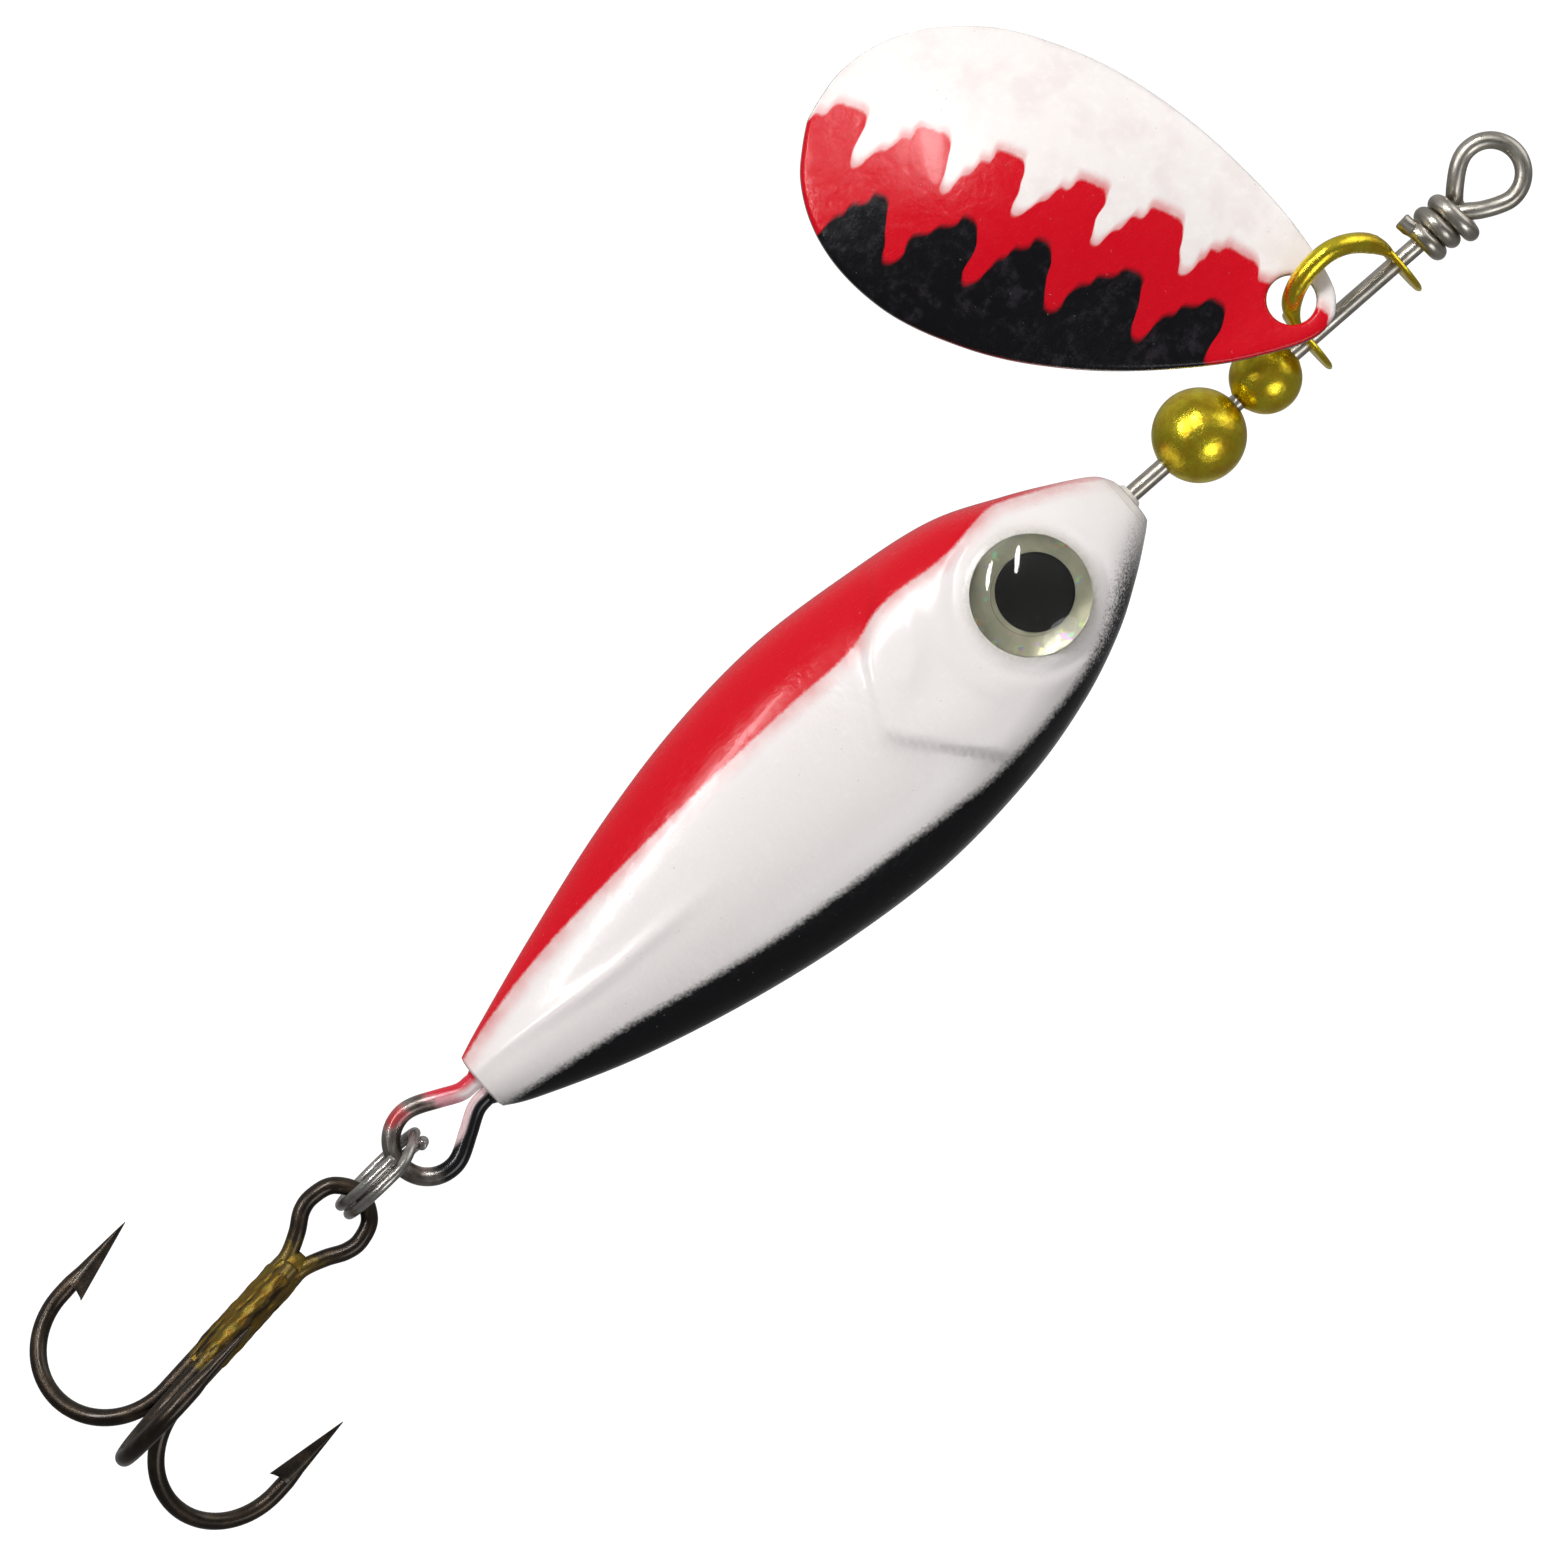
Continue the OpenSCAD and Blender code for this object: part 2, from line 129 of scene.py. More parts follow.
def between(value, table):
    """Straight interpolation in a table of (key, value) with rising keys."""
    if value <= table[0][0]:
        return table[0][1]
    for (a, p), (b, q) in zip(table, table[1:]):
        if value <= b:
            return p + (q - p) * (value - a) / (b - a)
    return table[-1][1]


def round_turns(count):
    """Angles that go once round, without the closing one."""
    return [2 * math.pi * k / count for k in range(count)]


def arc(cx, cz, r, a, b, steps):
    """Points of an arc in the XZ plane, from a to b degrees."""
    turns = [math.radians(a + (b - a) * k / steps) for k in range(steps + 1)]
    return [(cx + r * math.cos(t), 0, cz + r * math.sin(t)) for t in turns]


class Shape:
    """A mesh being gathered: vertices in millimetres, faces, one material index and UV per face corner."""

    def __init__(self):
        self.verts, self.faces, self.index, self.uvs = [], [], [], []

    def face(self, corners, uv=None, index=0):
        self.faces.append(tuple(corners))
        self.index.append(index)
        self.uvs.append(uv or [(0.0, 0.0)] * len(corners))

    def strip(self, a, b, sides, u, v):
        """The faces between two rings of vertices, which start at a and b and lie at u and v."""
        for k in range(sides):
            j = (k + 1) % sides
            p, q = k / sides, (k + 1) / sides
            self.face((a + k, a + j, b + j, b + k), [(u, p), (u, q), (v, q), (v, p)])

    def rings(self, rings, lengths=None):
        """A skin through rings of equally many points, with flat caps."""
        base, sides = len(self.verts), len(rings[0])
        for ring in rings:
            self.verts += [tuple(p) for p in ring]
        lengths = lengths or [float(i) for i in range(len(rings))]
        for i in range(len(rings) - 1):
            first = base + i * sides
            self.strip(first, first + sides, sides, lengths[i], lengths[i + 1])
        last = base + (len(rings) - 1) * sides
        self.face(range(base + sides - 1, base - 1, -1))
        self.face(range(last, last + sides))

    def sweep(self, points, half, sides=20, first=(0, 1, 0), blunt=(False, False)):
        """Wire along points. half is a radius, or (along the normal, across it) for each point."""
        pts = [Vector(p) for p in points]
        sizes = [(half, half)] * len(pts) if isinstance(half, float) else list(half)
        for end in (0, 1):
            if blunt[end]:
                a, b = (pts[0], pts[1]) if end == 0 else (pts[-1], pts[-2])
                out, size = (a - b).normalized(), sizes[0] if end == 0 else sizes[-1]
                for distance, share in CHAMFER:
                    place = 0 if end == 0 else len(pts)
                    pts.insert(place, a + out * distance)
                    sizes.insert(place, (size[0] * share, size[1] * share))
        normal, rings, lengths, run = Vector(first), [], [], 0.0
        for i, p in enumerate(pts):
            tangent = (pts[min(i + 1, len(pts) - 1)] - pts[max(i - 1, 0)]).normalized()
            normal = (normal - normal.dot(tangent) * tangent).normalized()
            across = tangent.cross(normal)
            a, b = sizes[i]
            turns = round_turns(sides)
            rings.append([p + a * math.cos(t) * normal + b * math.sin(t) * across for t in turns])
            run += (p - pts[i - 1]).length if i else 0.0
            lengths.append(run)
        self.rings(rings, lengths)

    def lathe(self, profile, centre=(0, 0, 0), turn=Matrix.Identity(3), sides=64, closed=True):
        """A profile of (radius, height) turned about Z; turn then takes it to its place."""
        base, n = len(self.verts), len(profile)
        for r, h in profile:
            for t in round_turns(sides):
                point = turn @ Vector((r * math.cos(t), r * math.sin(t), h))
                self.verts.append(tuple(point + Vector(centre)))
        for i in range(n if closed else n - 1):
            self.strip(base + i * sides, base + ((i + 1) % n) * sides, sides, i, i + 1)

    def moved(self, turn, at=Vector()):
        self.verts = [tuple(turn @ Vector(v) + at) for v in self.verts]

    def mesh(self, name):
        """The gathered mesh in metres, without its looks."""
        made = bpy.data.meshes.new(name)
        made.from_pydata([[c * MM for c in v] for v in self.verts], [], self.faces)
        return made

    def make(self, name, materials, body, nodes, slot, sharp=38, cutter=None):
        """The finished piece. Edges sharper than sharp degrees stay sharp, and cutter is cut away."""
        mesh = self.mesh(name)
        layer = mesh.uv_layers.new(name="run")
        for corner, pair in enumerate(pair for uv in self.uvs for pair in uv):
            layer.data[corner].uv = pair
        for material in materials:
            mesh.materials.append(material)
        for polygon, index in zip(mesh.polygons, self.index):
            polygon.material_index = index
            polygon.use_smooth = True
        piece = bpy.data.objects.new(name, mesh)
        scene.collection.objects.link(piece)
        if cutter:
            cut_away(piece, cutter)
        settle(piece.data, sharp)
        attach(piece, body)
        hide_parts(*nodes)


def settle(mesh, sharp=None):
    """Join doubled vertices, turn the faces outwards and mark the edges sharper than sharp."""
    work = bmesh.new()
    work.from_mesh(mesh)
    bmesh.ops.remove_doubles(work, verts=work.verts, dist=JOIN_DISTANCE)
    bmesh.ops.recalc_face_normals(work, faces=work.faces)
    if sharp:
        for edge in work.edges:
            edge.smooth = len(edge.link_faces) != 2 or edge.calc_face_angle() < math.radians(sharp)
    work.to_mesh(mesh)
    work.free()


def cut_away(piece, cutter):
    """Cut the shape cutter out of a piece."""
    settle(piece.data)
    tool = bpy.data.objects.new(piece.name + "_cutter", cutter.mesh(piece.name + "_cutter"))
    settle(tool.data)
    scene.collection.objects.link(tool)
    cut = piece.modifiers.new("cut", "BOOLEAN")
    cut.operation, cut.solver, cut.object = "DIFFERENCE", "EXACT", tool
    bpy.context.view_layer.update()
    result = piece.evaluated_get(bpy.context.evaluated_depsgraph_get())
    mesh = bpy.data.meshes.new_from_object(result)
    piece.modifiers.clear()
    piece.data = mesh
    bpy.data.objects.remove(tool)


# ---------------- materials

MIX_A, MIX_B, MIX_RESULT = 6, 7, 2   # the colour sockets of a Mix node


class Graph:
    """A node tree, built with short calls."""

    def __init__(self, tree):
        self.tree = tree

    def plug(self, socket, value):
        if isinstance(value, bpy.types.NodeSocket):
            self.tree.links.new(value, socket)
        elif isinstance(value, (tuple, list)) and len(value) == 3 and socket.type == "RGBA":
            socket.default_value = (*value, 1.0)
        else:
            socket.default_value = value

    def node(self, kind, *values, **settings):
        made = self.tree.nodes.new("ShaderNode" + kind)
        for key, value in settings.items():
            setattr(made, key, value)
        for socket, value in zip(made.inputs, values):
            self.plug(socket, value)
        return made

    def ease(self, value, low, high, out_low=0.0, out_high=1.0):
        spans = (low, high, out_low, out_high)
        return self.node("MapRange", value, *spans, interpolation_type="SMOOTHSTEP").outputs[0]

    def mix(self, share, a, b):
        made = self.node("Mix", data_type="RGBA")
        self.plug(made.inputs["Factor"], share)
        self.plug(made.inputs[MIX_A], a)
        self.plug(made.inputs[MIX_B], b)
        return made.outputs[MIX_RESULT]


class Look(Graph):
    """A node material. Positions inside it are in millimetres."""

    def __init__(self, name, **base):
        self.material = bpy.data.materials.new(name)
        self.material.use_nodes = True
        super().__init__(self.material.node_tree)
        self.shader = self.tree.nodes["Principled BSDF"]
        self.set(**base)
        self._place = None

    def set(self, **inputs):
        for name, value in inputs.items():
            self.plug(self.shader.inputs[name.replace("_", " ")], value)

    def math(self, operation, *values):
        return self.node("Math", *values, operation=operation).outputs[0]

    def add(self, first, *others):
        for value in others:
            first = self.math("ADD", first, value)
        return first

    def times(self, first, *others):
        for value in others:
            first = self.math("MULTIPLY", first, value)
        return first

    def less(self, a, b):
        return self.math("SUBTRACT", a, b)

    def most(self, first, *others):
        for value in others:
            first = self.math("MAXIMUM", first, value)
        return first

    def place(self):
        """The position in the part's frame, in millimetres."""
        if self._place is None:
            raw = self.node("TexCoord").outputs["Object"]
            scaled = self.node("VectorMath", raw, operation="SCALE")
            scaled.inputs["Scale"].default_value = 1 / MM
            self._place = scaled.outputs[0]
        return self._place

    def local(self, turn, at):
        """The position in a piece's own frame, in millimetres."""
        made = self.node("Mapping", self.place(), vector_type="TEXTURE")
        made.inputs["Location"].default_value = at
        made.inputs["Rotation"].default_value = turn.to_euler()
        return made.outputs[0]

    def split(self, vector):
        return self.node("SeparateXYZ", vector).outputs

    def stretch(self, vector, scale):
        return self.node("VectorMath", vector, tuple(scale), operation="MULTIPLY").outputs[0]

    def wire(self, along, around):
        """Coordinates along and around a swept wire."""
        uv = self.node("UVMap", uv_map="run").outputs[0]
        return self.stretch(uv, (along, around, 1))

    def noise(self, vector, scale, detail=3.0, rough=0.55):
        made = self.node("TexNoise", vector)
        made.inputs["Scale"].default_value = scale
        made.inputs["Detail"].default_value = detail
        made.inputs["Roughness"].default_value = rough
        return made.outputs["Fac"]

    def cells(self, vector, scale, output="Color", **settings):
        made = self.node("TexVoronoi", vector, **settings)
        made.inputs["Scale"].default_value = scale
        return made.outputs[output]

    def line(self, value, low, high, out_low=0.0, out_high=1.0):
        return self.node("MapRange", value, low, high, out_low, out_high).outputs[0]

    def curve(self, value, points, keys, values):
        """A curve through points, whose keys and values lie in the given spans."""
        made = self.node("FloatCurve")
        line = made.mapping.curves[0]
        spots = sorted(
            ((k - keys[0]) / (keys[1] - keys[0]), (v - values[0]) / (values[1] - values[0]))
            for k, v in points
        )
        while len(line.points) < len(spots):
            line.points.new(0.5, 0.5)
        for point, spot in zip(line.points, spots):
            point.location = spot
            point.handle_type = "AUTO"
        made.mapping.update()
        self.plug(made.inputs["Value"], self.line(value, *keys))
        return self.line(made.outputs[0], 0, 1, *values)

    def bump(self, height, distance, strength=1.0):
        made = self.node("Bump")
        made.inputs["Strength"].default_value = strength
        made.inputs["Distance"].default_value = distance * MM
        self.plug(made.inputs["Height"], height)
        self.plug(self.shader.inputs["Normal"], made.outputs[0])


WHITE = (0.885, 0.84, 0.835)
RED = (0.655, 0.001, 0.012)
BLACK = (0.003, 0.0026, 0.0042)


def steel(name, colour, dark, rough):
    """Drawn wire: fine lengthwise lines, dull patches and small pits."""
    look = Look(name, Metallic=1.0)
    lines = look.noise(look.wire(0.5, 9), 2.0, 3)
    patches = look.noise(look.place(), 0.9, 3)
    pits = look.ease(look.noise(look.place(), 7, 2), 0.66, 0.76)
    tone = look.mix(look.ease(patches, 0.35, 0.7), colour, dark)
    tone = look.mix(look.times(pits, 0.4), tone, tuple(c * 0.5 for c in dark))
    look.set(Base_Color=tone, Roughness=look.line(lines, 0.3, 0.7, rough - 0.08, rough + 0.12))
    look.bump(look.add(look.times(lines, 0.6), look.times(pits, -0.6)), 0.012, 0.5)
    return look


def brass(name, rough):
    """Tumbled brass: a dull polish, small dents, brown tarnish in patches."""
    look = Look(name, Metallic=1.0)
    cloud = look.noise(look.place(), 1.3, 4, 0.6)
    grain = look.noise(look.place(), 14, 3)
    dents = look.cells(look.place(), 3.2, "Distance", feature="SMOOTH_F1")
    tone = look.mix(look.ease(cloud, 0.35, 0.68), (0.95, 0.80, 0.05), (0.80, 0.54, 0.03))
    tone = look.mix(look.ease(grain, 0.58, 0.78, 0, 0.55), tone, (0.26, 0.12, 0.008))
    wear = look.add(cloud, look.times(grain, 0.5))
    look.set(Base_Color=tone, Roughness=look.line(wear, 0.5, 1.0, rough - 0.06, rough + 0.12))
    look.bump(look.add(look.times(dents, 0.6), look.times(grain, 0.35)), 0.05, 0.55)
    return look


def gloss_paint(look, colour, rough, relief=0.0):
    """Thick gloss paint: slight orange peel, dust specks, faint scuffs."""
    peel = look.noise(look.place(), 1.6, 3)
    specks = look.ease(look.cells(look.place(), 2.1, "Distance"), 0.05, 0.11, 1, 0)
    specks = look.times(specks, look.ease(look.noise(look.place(), 0.7, 2), 0.55, 0.62))
    scuffs = look.noise(look.stretch(look.place(), (5, 5, 1.2)), 1.3, 5, 0.65)
    scuffs = look.ease(scuffs, 0.56, 0.7)
    look.set(
        Base_Color=look.mix(look.times(specks, 0.35), colour, (0.30, 0.26, 0.25)),
        Roughness=look.add(look.line(peel, 0.3, 0.7, rough, rough + 0.1), look.times(scuffs, 0.16)),
        Coat_Weight=0.12,
        Coat_Roughness=0.05,
        Specular_IOR_Level=0.3,
    )
    look.bump(look.add(peel, look.times(specks, 0.5), relief), 0.06, 0.5)


def body_paint():
    """White flanks, a red back and a black belly, airbrushed with soft ragged edges."""
    look = Look("body_paint")
    x, _, z = look.split(look.place())
    fine = look.noise(look.place(), 5.5, 4, 0.65)
    broad = look.noise(look.place(), 0.55, 2)
    jitter = look.line(fine, 0.2, 0.8, -0.16, 0.16)
    span, reach = (-68, -24), (-8, 8)
    red_edge = [
        (-24, -1.2), (-25, -1.74), (-26, -2.38), (-27, -2.94), (-28, -3.42), (-29, -3.86), (-29.8, -4.1),
        (-31, -4.0), (-33, -3.75), (-37.2, -3.95), (-39.6, -3.3), (-44, -3.2), (-50, -3.0), (-56, -2.6),
        (-61, -2.1), (-65, -1.35), (-68, -0.5),
    ]
    black_edge = [
        (-24, 1.1), (-26, 2.2), (-28, 3.4), (-30, 4.5), (-33, 5.4), (-38.5, 6.05), (-41, 5.95),
        (-44, 5.7), (-48, 5.4), (-52, 5.0), (-56, 4.3), (-60, 3.5), (-64, 2.85), (-68, 2.3),
    ]
    past_red = look.less(x, look.curve(z, red_edge, span, reach))
    past_red = look.add(past_red, look.times(jitter, 0.35))
    haze = look.ease(past_red, -0.1, 0.95, 0.5, 0)
    haze = look.times(haze, look.line(broad, 0.35, 0.65, 0.45, 1.1))
    red = look.most(look.ease(past_red, -0.16, 0.14, 1, 0), haze)
    red = look.times(red, look.ease(z, -24.2, -29, 0.4, 1))
    # the black edge is speckled near the nose, and sharper behind it
    speckle = look.line(look.noise(look.place(), 9, 3, 0.7), 0.3, 0.7, -0.5, 0.5)
    speckle = look.times(speckle, look.ease(z, -34, -27))
    past_black = look.less(look.curve(z, black_edge, span, reach), x)
    past_black = look.add(past_black, look.add(jitter, speckle))
    width = look.ease(z, -25, -33, 0.75, 0.28)
    black = look.math("DIVIDE", look.add(past_black, width), look.times(width, 2))
    black = look.ease(look.less(1.0, black), 0, 1)
    black = look.times(black, look.ease(z, -24.0, -27.5, 0.3, 1))
    white = look.mix(look.ease(broad, 0.35, 0.7), WHITE, (0.88, 0.83, 0.825))
    # a soft grey ring of painted shade round each eye's socket
    flat = look.node("CombineXYZ", look.less(x, EYE_X), 0.0, look.less(z, EYE_Z))
    from_eye = look.node("VectorMath", flat.outputs[0], operation="LENGTH").outputs["Value"]
    socket_shade = look.times(look.ease(from_eye, 3.75, 3.0, 0, 0.5), look.line(fine, 0.3, 0.7, 0.5, 1.2))
    white = look.mix(socket_shade, white, (0.36, 0.345, 0.265))
    gloss_paint(look, look.mix(black, look.mix(red, white, RED), BLACK), 0.17)
    return look


def blade_paint():
    """White over red over black, with the two airbrushed rows of drips that run down the blade."""
    look = Look("blade_paint")
    x, y, _ = look.split(look.local(BLADE_TURN, BLADE_AT))
    along = look.add(x, BLADE_HEEL)
    broad = look.noise(look.place(), 0.5, 2)
    wobble = look.line(look.noise(look.place(), 0.22, 2), 0.3, 0.7, -0.4, 0.4)

    def drips(first, period, points, span):
        """The edge of a row of drips, by the curve of one drip."""
        phase = look.math("DIVIDE", look.less(look.add(along, wobble), first), period)
        return look.curve(look.math("FRACT", phase), points, (0, 1), span)

    upper_drip = [
        (0, -1.8), (0.1, -1.85), (0.26, -1.75), (0.31, -1.4), (0.35, -1.1), (0.45, -1.0), (0.49, -0.6),
        (0.53, -0.2), (0.6, 0.05), (0.64, 0.5), (0.69, 0.95), (0.75, 1.1), (0.805, 0.95), (0.83, 0.5),
        (0.845, -0.5), (0.86, -1.2), (0.89, -1.62), (0.94, -1.78), (1, -1.8),
    ]
    upper = drips(-3.2, 4.15, upper_drip, (-3, 3))
    upper = look.times(look.add(upper, 0.9), look.ease(along, 3.6, 9.5, 0.25, 1.0))
    upper = look.add(upper, look.line(along, 0, 28, -1.05, -0.35), look.ease(along, 3.2, 1.2, 0, 1.1))
    lower_drip = [
        (0, 0.0), (0.07, 0.03), (0.13, 0.45), (0.2, 0.65), (0.3, 0.8), (0.36, 1.3), (0.46, 1.55),
        (0.54, 2.1), (0.6, 2.8), (0.67, 3.1), (0.75, 3.1), (0.8, 2.8), (0.825, 2.0), (0.845, 1.0),
        (0.87, 0.4), (0.92, 0.1), (1, 0.0),
    ]
    lower = look.add(drips(-2.4, 4.25, lower_drip, (-1, 4)), look.line(along, 5, 27, 1.35, 2.75))
    lower = look.add(lower, look.ease(along, 5.2, 4.0, 0, 1.6), look.ease(along, 25.2, 27.2, 0, 4))
    jitter = look.line(look.noise(look.place(), 3.2, 4, 0.6), 0.2, 0.8, -0.3, 0.3)
    ragged = look.add(y, look.times(jitter, 0.25))
    past_upper = look.less(ragged, upper)
    haze = look.times(look.ease(past_upper, -0.65, 0.1), look.line(broad, 0.35, 0.65, 0.4, 0.7))
    red = look.most(look.ease(past_upper, -0.2, 0.24), haze)
    black = look.ease(look.less(ragged, lower), -0.2, 0.28)
    white = look.mix(look.ease(broad, 0.4, 0.7), (0.95, 0.90, 0.885), (0.90, 0.83, 0.82))
    # grey clouds over the black paint: a painted reflection
    painted_sheen = look.ease(look.noise(look.place(), 0.8, 5, 0.7), 0.5, 0.68, 0, 0.55)
    dark = look.mix(painted_sheen, BLACK, (0.03, 0.026, 0.032))
    colour = look.mix(black, look.mix(red, white, RED), dark)
    gloss_paint(look, colour, 0.2, look.times(look.noise(look.place(), 2.6, 4, 0.7), 0.5))
    return look


def plated_back():
    """Plain nickel plate with fine lines down the blade."""
    look = Look("blade_back", Metallic=1.0)
    spot = look.local(BLADE_TURN, BLADE_AT)
    lines = look.noise(look.stretch(spot, (0.5, 9, 1)), 2.2, 4)
    cloud = look.noise(spot, 0.35, 4)
    tone = look.mix(look.ease(cloud, 0.35, 0.7), (0.62, 0.60, 0.56), (0.48, 0.455, 0.41))
    look.set(Base_Color=tone, Roughness=look.line(lines, 0.3, 0.7, 0.2, 0.36))
    look.bump(lines, 0.01, 0.5)
    return look


def painted_wire():
    """The tail loop: bare steel that the body's paint has run down."""
    look = steel("tail_loop_wire", (0.42, 0.39, 0.36), (0.21, 0.17, 0.15), 0.3)
    x, _, z = look.split(look.place())
    rag = look.line(look.noise(look.place(), 1.6, 3, 0.6), 0.2, 0.8, -0.35, 0.35)
    low = look.add(z, rag)
    left = look.ease(x, 0.95, 1.05, 1, 0)
    paint_left = look.times(look.ease(low, -70.7, -70.0), left)
    paint_right = look.times(look.ease(low, -73.1, -71.9), look.less(1.0, left))
    patch = look.times(look.ease(low, -73.1, -72.6), look.ease(low, -71.2, -71.9))
    patch = look.times(patch, look.ease(x, -0.1, -0.55), 0.8)
    # how far out from the middle of each leg, which flares towards the loop
    flare = look.times(look.ease(z, -68.4, -70.6), 0.95)
    out_left = look.less(look.less(LEGS[0], x), flare)
    out_right = look.less(look.less(x, LEGS[1]), flare)
    pale = look.mix(look.ease(low, -69.4, -68.5), (0.74, 0.34, 0.38), (0.84, 0.75, 0.75))
    pink = look.mix(look.ease(out_left, -0.25, 0.2), pale, (0.62, 0.02, 0.045))
    pink = look.mix(patch, pink, (0.42, 0.01, 0.02))
    right = look.mix(look.ease(out_right, -0.35, 0.0), (0.78, 0.56, 0.58), BLACK)
    paint = look.most(paint_left, paint_right, patch)
    bare = look.less(1.0, paint)
    steel_tone = look.shader.inputs["Base Color"].links[0].from_socket
    steel_rough = look.shader.inputs["Roughness"].links[0].from_socket
    look.set(
        Base_Color=look.mix(paint, steel_tone, look.mix(left, right, pink)),
        Metallic=bare,
        Roughness=look.add(look.times(steel_rough, bare), look.times(paint, 0.22)),
    )
    return look


def hook_bronze():
    """Dark bronzed lacquer with lighter clouds, stained by the braze on the shank."""
    look = Look("hook_bronze", Metallic=1.0)
    x, y, z = look.split(look.local(HOOK_TURN, HOOK_AT))
    cloud = look.noise(look.place(), 1.1, 4, 0.6)
    grain = look.noise(look.place(), 12, 3)
    lines = look.noise(look.wire(0.5, 18), 3.0, 3)
    tone = look.mix(look.ease(cloud, 0.4, 0.72), (0.044, 0.035, 0.028), (0.084, 0.062, 0.043))
    rag = look.line(look.noise(look.place(), 2.2, 3, 0.6), 0.2, 0.8, -0.9, 0.9)
    near = look.add(z, rag)
    stain = look.times(look.ease(near, -11.0, -10.2), look.ease(near, -2.4, -3.3))
    off_axis = look.math("SQRT", look.add(look.times(x, x), look.times(y, y)))
    stain = look.times(stain, look.ease(off_axis, 1.5, 1.25))
    look.set(
        Base_Color=look.mix(look.times(stain, 0.8), tone, (0.21, 0.145, 0.035)),
        Roughness=look.add(look.line(cloud, 0.3, 0.7, 0.32, 0.42), look.times(stain, 0.12)),
        Coat_Weight=0.25,
        Coat_Roughness=0.12,
    )
    look.bump(look.add(look.times(lines, 0.1), look.times(grain, 0.04)), 0.012, 0.4)
    return look


def braze_film():
    """Dull olive braze with brown patches and dark streaks along the shank."""
    look = Look("braze_film", Metallic=0.95)
    cloud = look.noise(look.place(), 1.7, 5, 0.65)
    grain = look.noise(look.place(), 5, 3, 0.55)
    spot = look.local(HOOK_TURN, HOOK_AT)
    x, _, z = look.split(spot)
    flow = look.noise(look.stretch(spot, (1.6, 1.6, 0.32)), 1.0, 4, 0.6)
    tone = look.mix(look.ease(cloud, 0.38, 0.62), (0.235, 0.130, 0.020), (0.23, 0.17, 0.032))
    tone = look.mix(look.ease(grain, 0.52, 0.7, 0, 0.35), tone, (0.10, 0.05, 0.015))
    # a dark line of painted shade along the filled groove beside the single hook's shank
    drift = look.line(look.noise(look.stretch(spot, (0, 0, 1)), 0.6, 2), 0.3, 0.7, -0.12, 0.12)
    beside = look.math("ABSOLUTE", look.less(look.add(x, drift), 0.3))
    groove_shade = look.times(look.ease(beside, 0.24, 0.1), look.ease(z, -4.6, -5.2))
    tone = look.mix(look.times(groove_shade, 0.85), tone, (0.03, 0.02, 0.014))
    tone = look.mix(look.ease(flow, 0.53, 0.6, 0, 0.92), tone, (0.032, 0.023, 0.016))
    look.set(Base_Color=tone, Roughness=look.line(grain, 0.3, 0.7, 0.4, 0.58))
    look.bump(look.add(cloud, look.times(grain, 0.3)), 0.05, 0.5)
    return look


def eye_foil():
    """Silver-olive foil with small rainbow flecks."""
    look = Look("eye_foil", Metallic=0.55)
    spot = look.stretch(look.place(), (1, 0, 1))
    hue, dull, _ = look.split(look.cells(spot, 3.4))
    rainbow = look.node("HueSaturation")
    look.plug(rainbow.inputs["Color"], (0.95, 0.42, 0.2))
    look.plug(rainbow.inputs["Hue"], hue)
    look.plug(rainbow.inputs["Saturation"], 0.9)
    pick = look.ease(look.noise(spot, 1.1, 3), 0.56, 0.66, 0, 0.55)
    cloud = look.noise(spot, 0.8, 3)
    tone = look.mix(look.ease(cloud, 0.35, 0.7), (0.55, 0.53, 0.43), (0.43, 0.42, 0.345))
    colour = look.mix(pick, tone, rainbow.outputs[0])
    look.set(Base_Color=colour, Roughness=look.line(dull, 0, 1, 0.28, 0.5))
    look.bump(hue, 0.02, 0.5)
    return look


def plain(name, colour, other, rough, scale):
    """A matt look that drifts between two colours."""
    look = Look(name, Specular_IOR_Level=0.15)
    cloud = look.noise(look.place(), scale, 4)
    tone = look.mix(look.ease(cloud, 0.35, 0.65), colour, other)
    look.set(Base_Color=tone, Roughness=look.line(cloud, 0.3, 0.7, rough, rough + 0.15))
    look.bump(cloud, 0.02, 0.4)
    return look


def resin():
    """Clear resin with faint smears."""
    look = Look("eye_resin", Base_Color=(0.94, 0.945, 0.875), Transmission_Weight=1.0)
    look.set(IOR=1.49, Specular_IOR_Level=0.22)
    smear = look.noise(look.place(), 1.1, 3)
    look.set(Roughness=look.line(smear, 0.3, 0.7, 0.015, 0.06))
    look.bump(smear, 0.02, 0.25)
    return look


# ---------------- shaft wire

WRAP_STEP = 6   # degrees
TURNS_TO_CUT = 2.12
SHAFT_FOOT = -44.1
shaft_steel = steel("shaft_steel", (0.62, 0.585, 0.52), (0.44, 0.41, 0.355), 0.32)
line_eye = smooth(
    [(0, 0, WRAP_TOP - 0.6), (0.02, 0, WRAP_TOP - 0.1), (0.28, -0.04, -2.15), (0.76, -0.06, -1.45)]
    + arc(-0.3, 0.15, 1.65, -28, 216, 9)
    + [(-0.98, 0.2, -1.6), (-0.4, 0.66, -2.12)],
    8,
)
wraps = []
for k in range(155):
    a = math.radians(60 - WRAP_STEP * k)
    gone = (-math.pi / 2 - a) / (2 * math.pi)
    gone -= 0.08 * math.sin(2 * math.pi * gone)
    r = WRAP_R + (0.36 * max(math.cos(a), 0) ** 2 if a > -math.pi / 2 else 0)
    wraps.append((r * math.cos(a), r * math.sin(a), WRAP_TOP - WRAP_PITCH * gone))
cut_end = [(-x, -0.9, WRAP_TOP - x / 10 - WRAP_PITCH * TURNS_TO_CUT) for x in (1.0, 1.25, 1.4)]
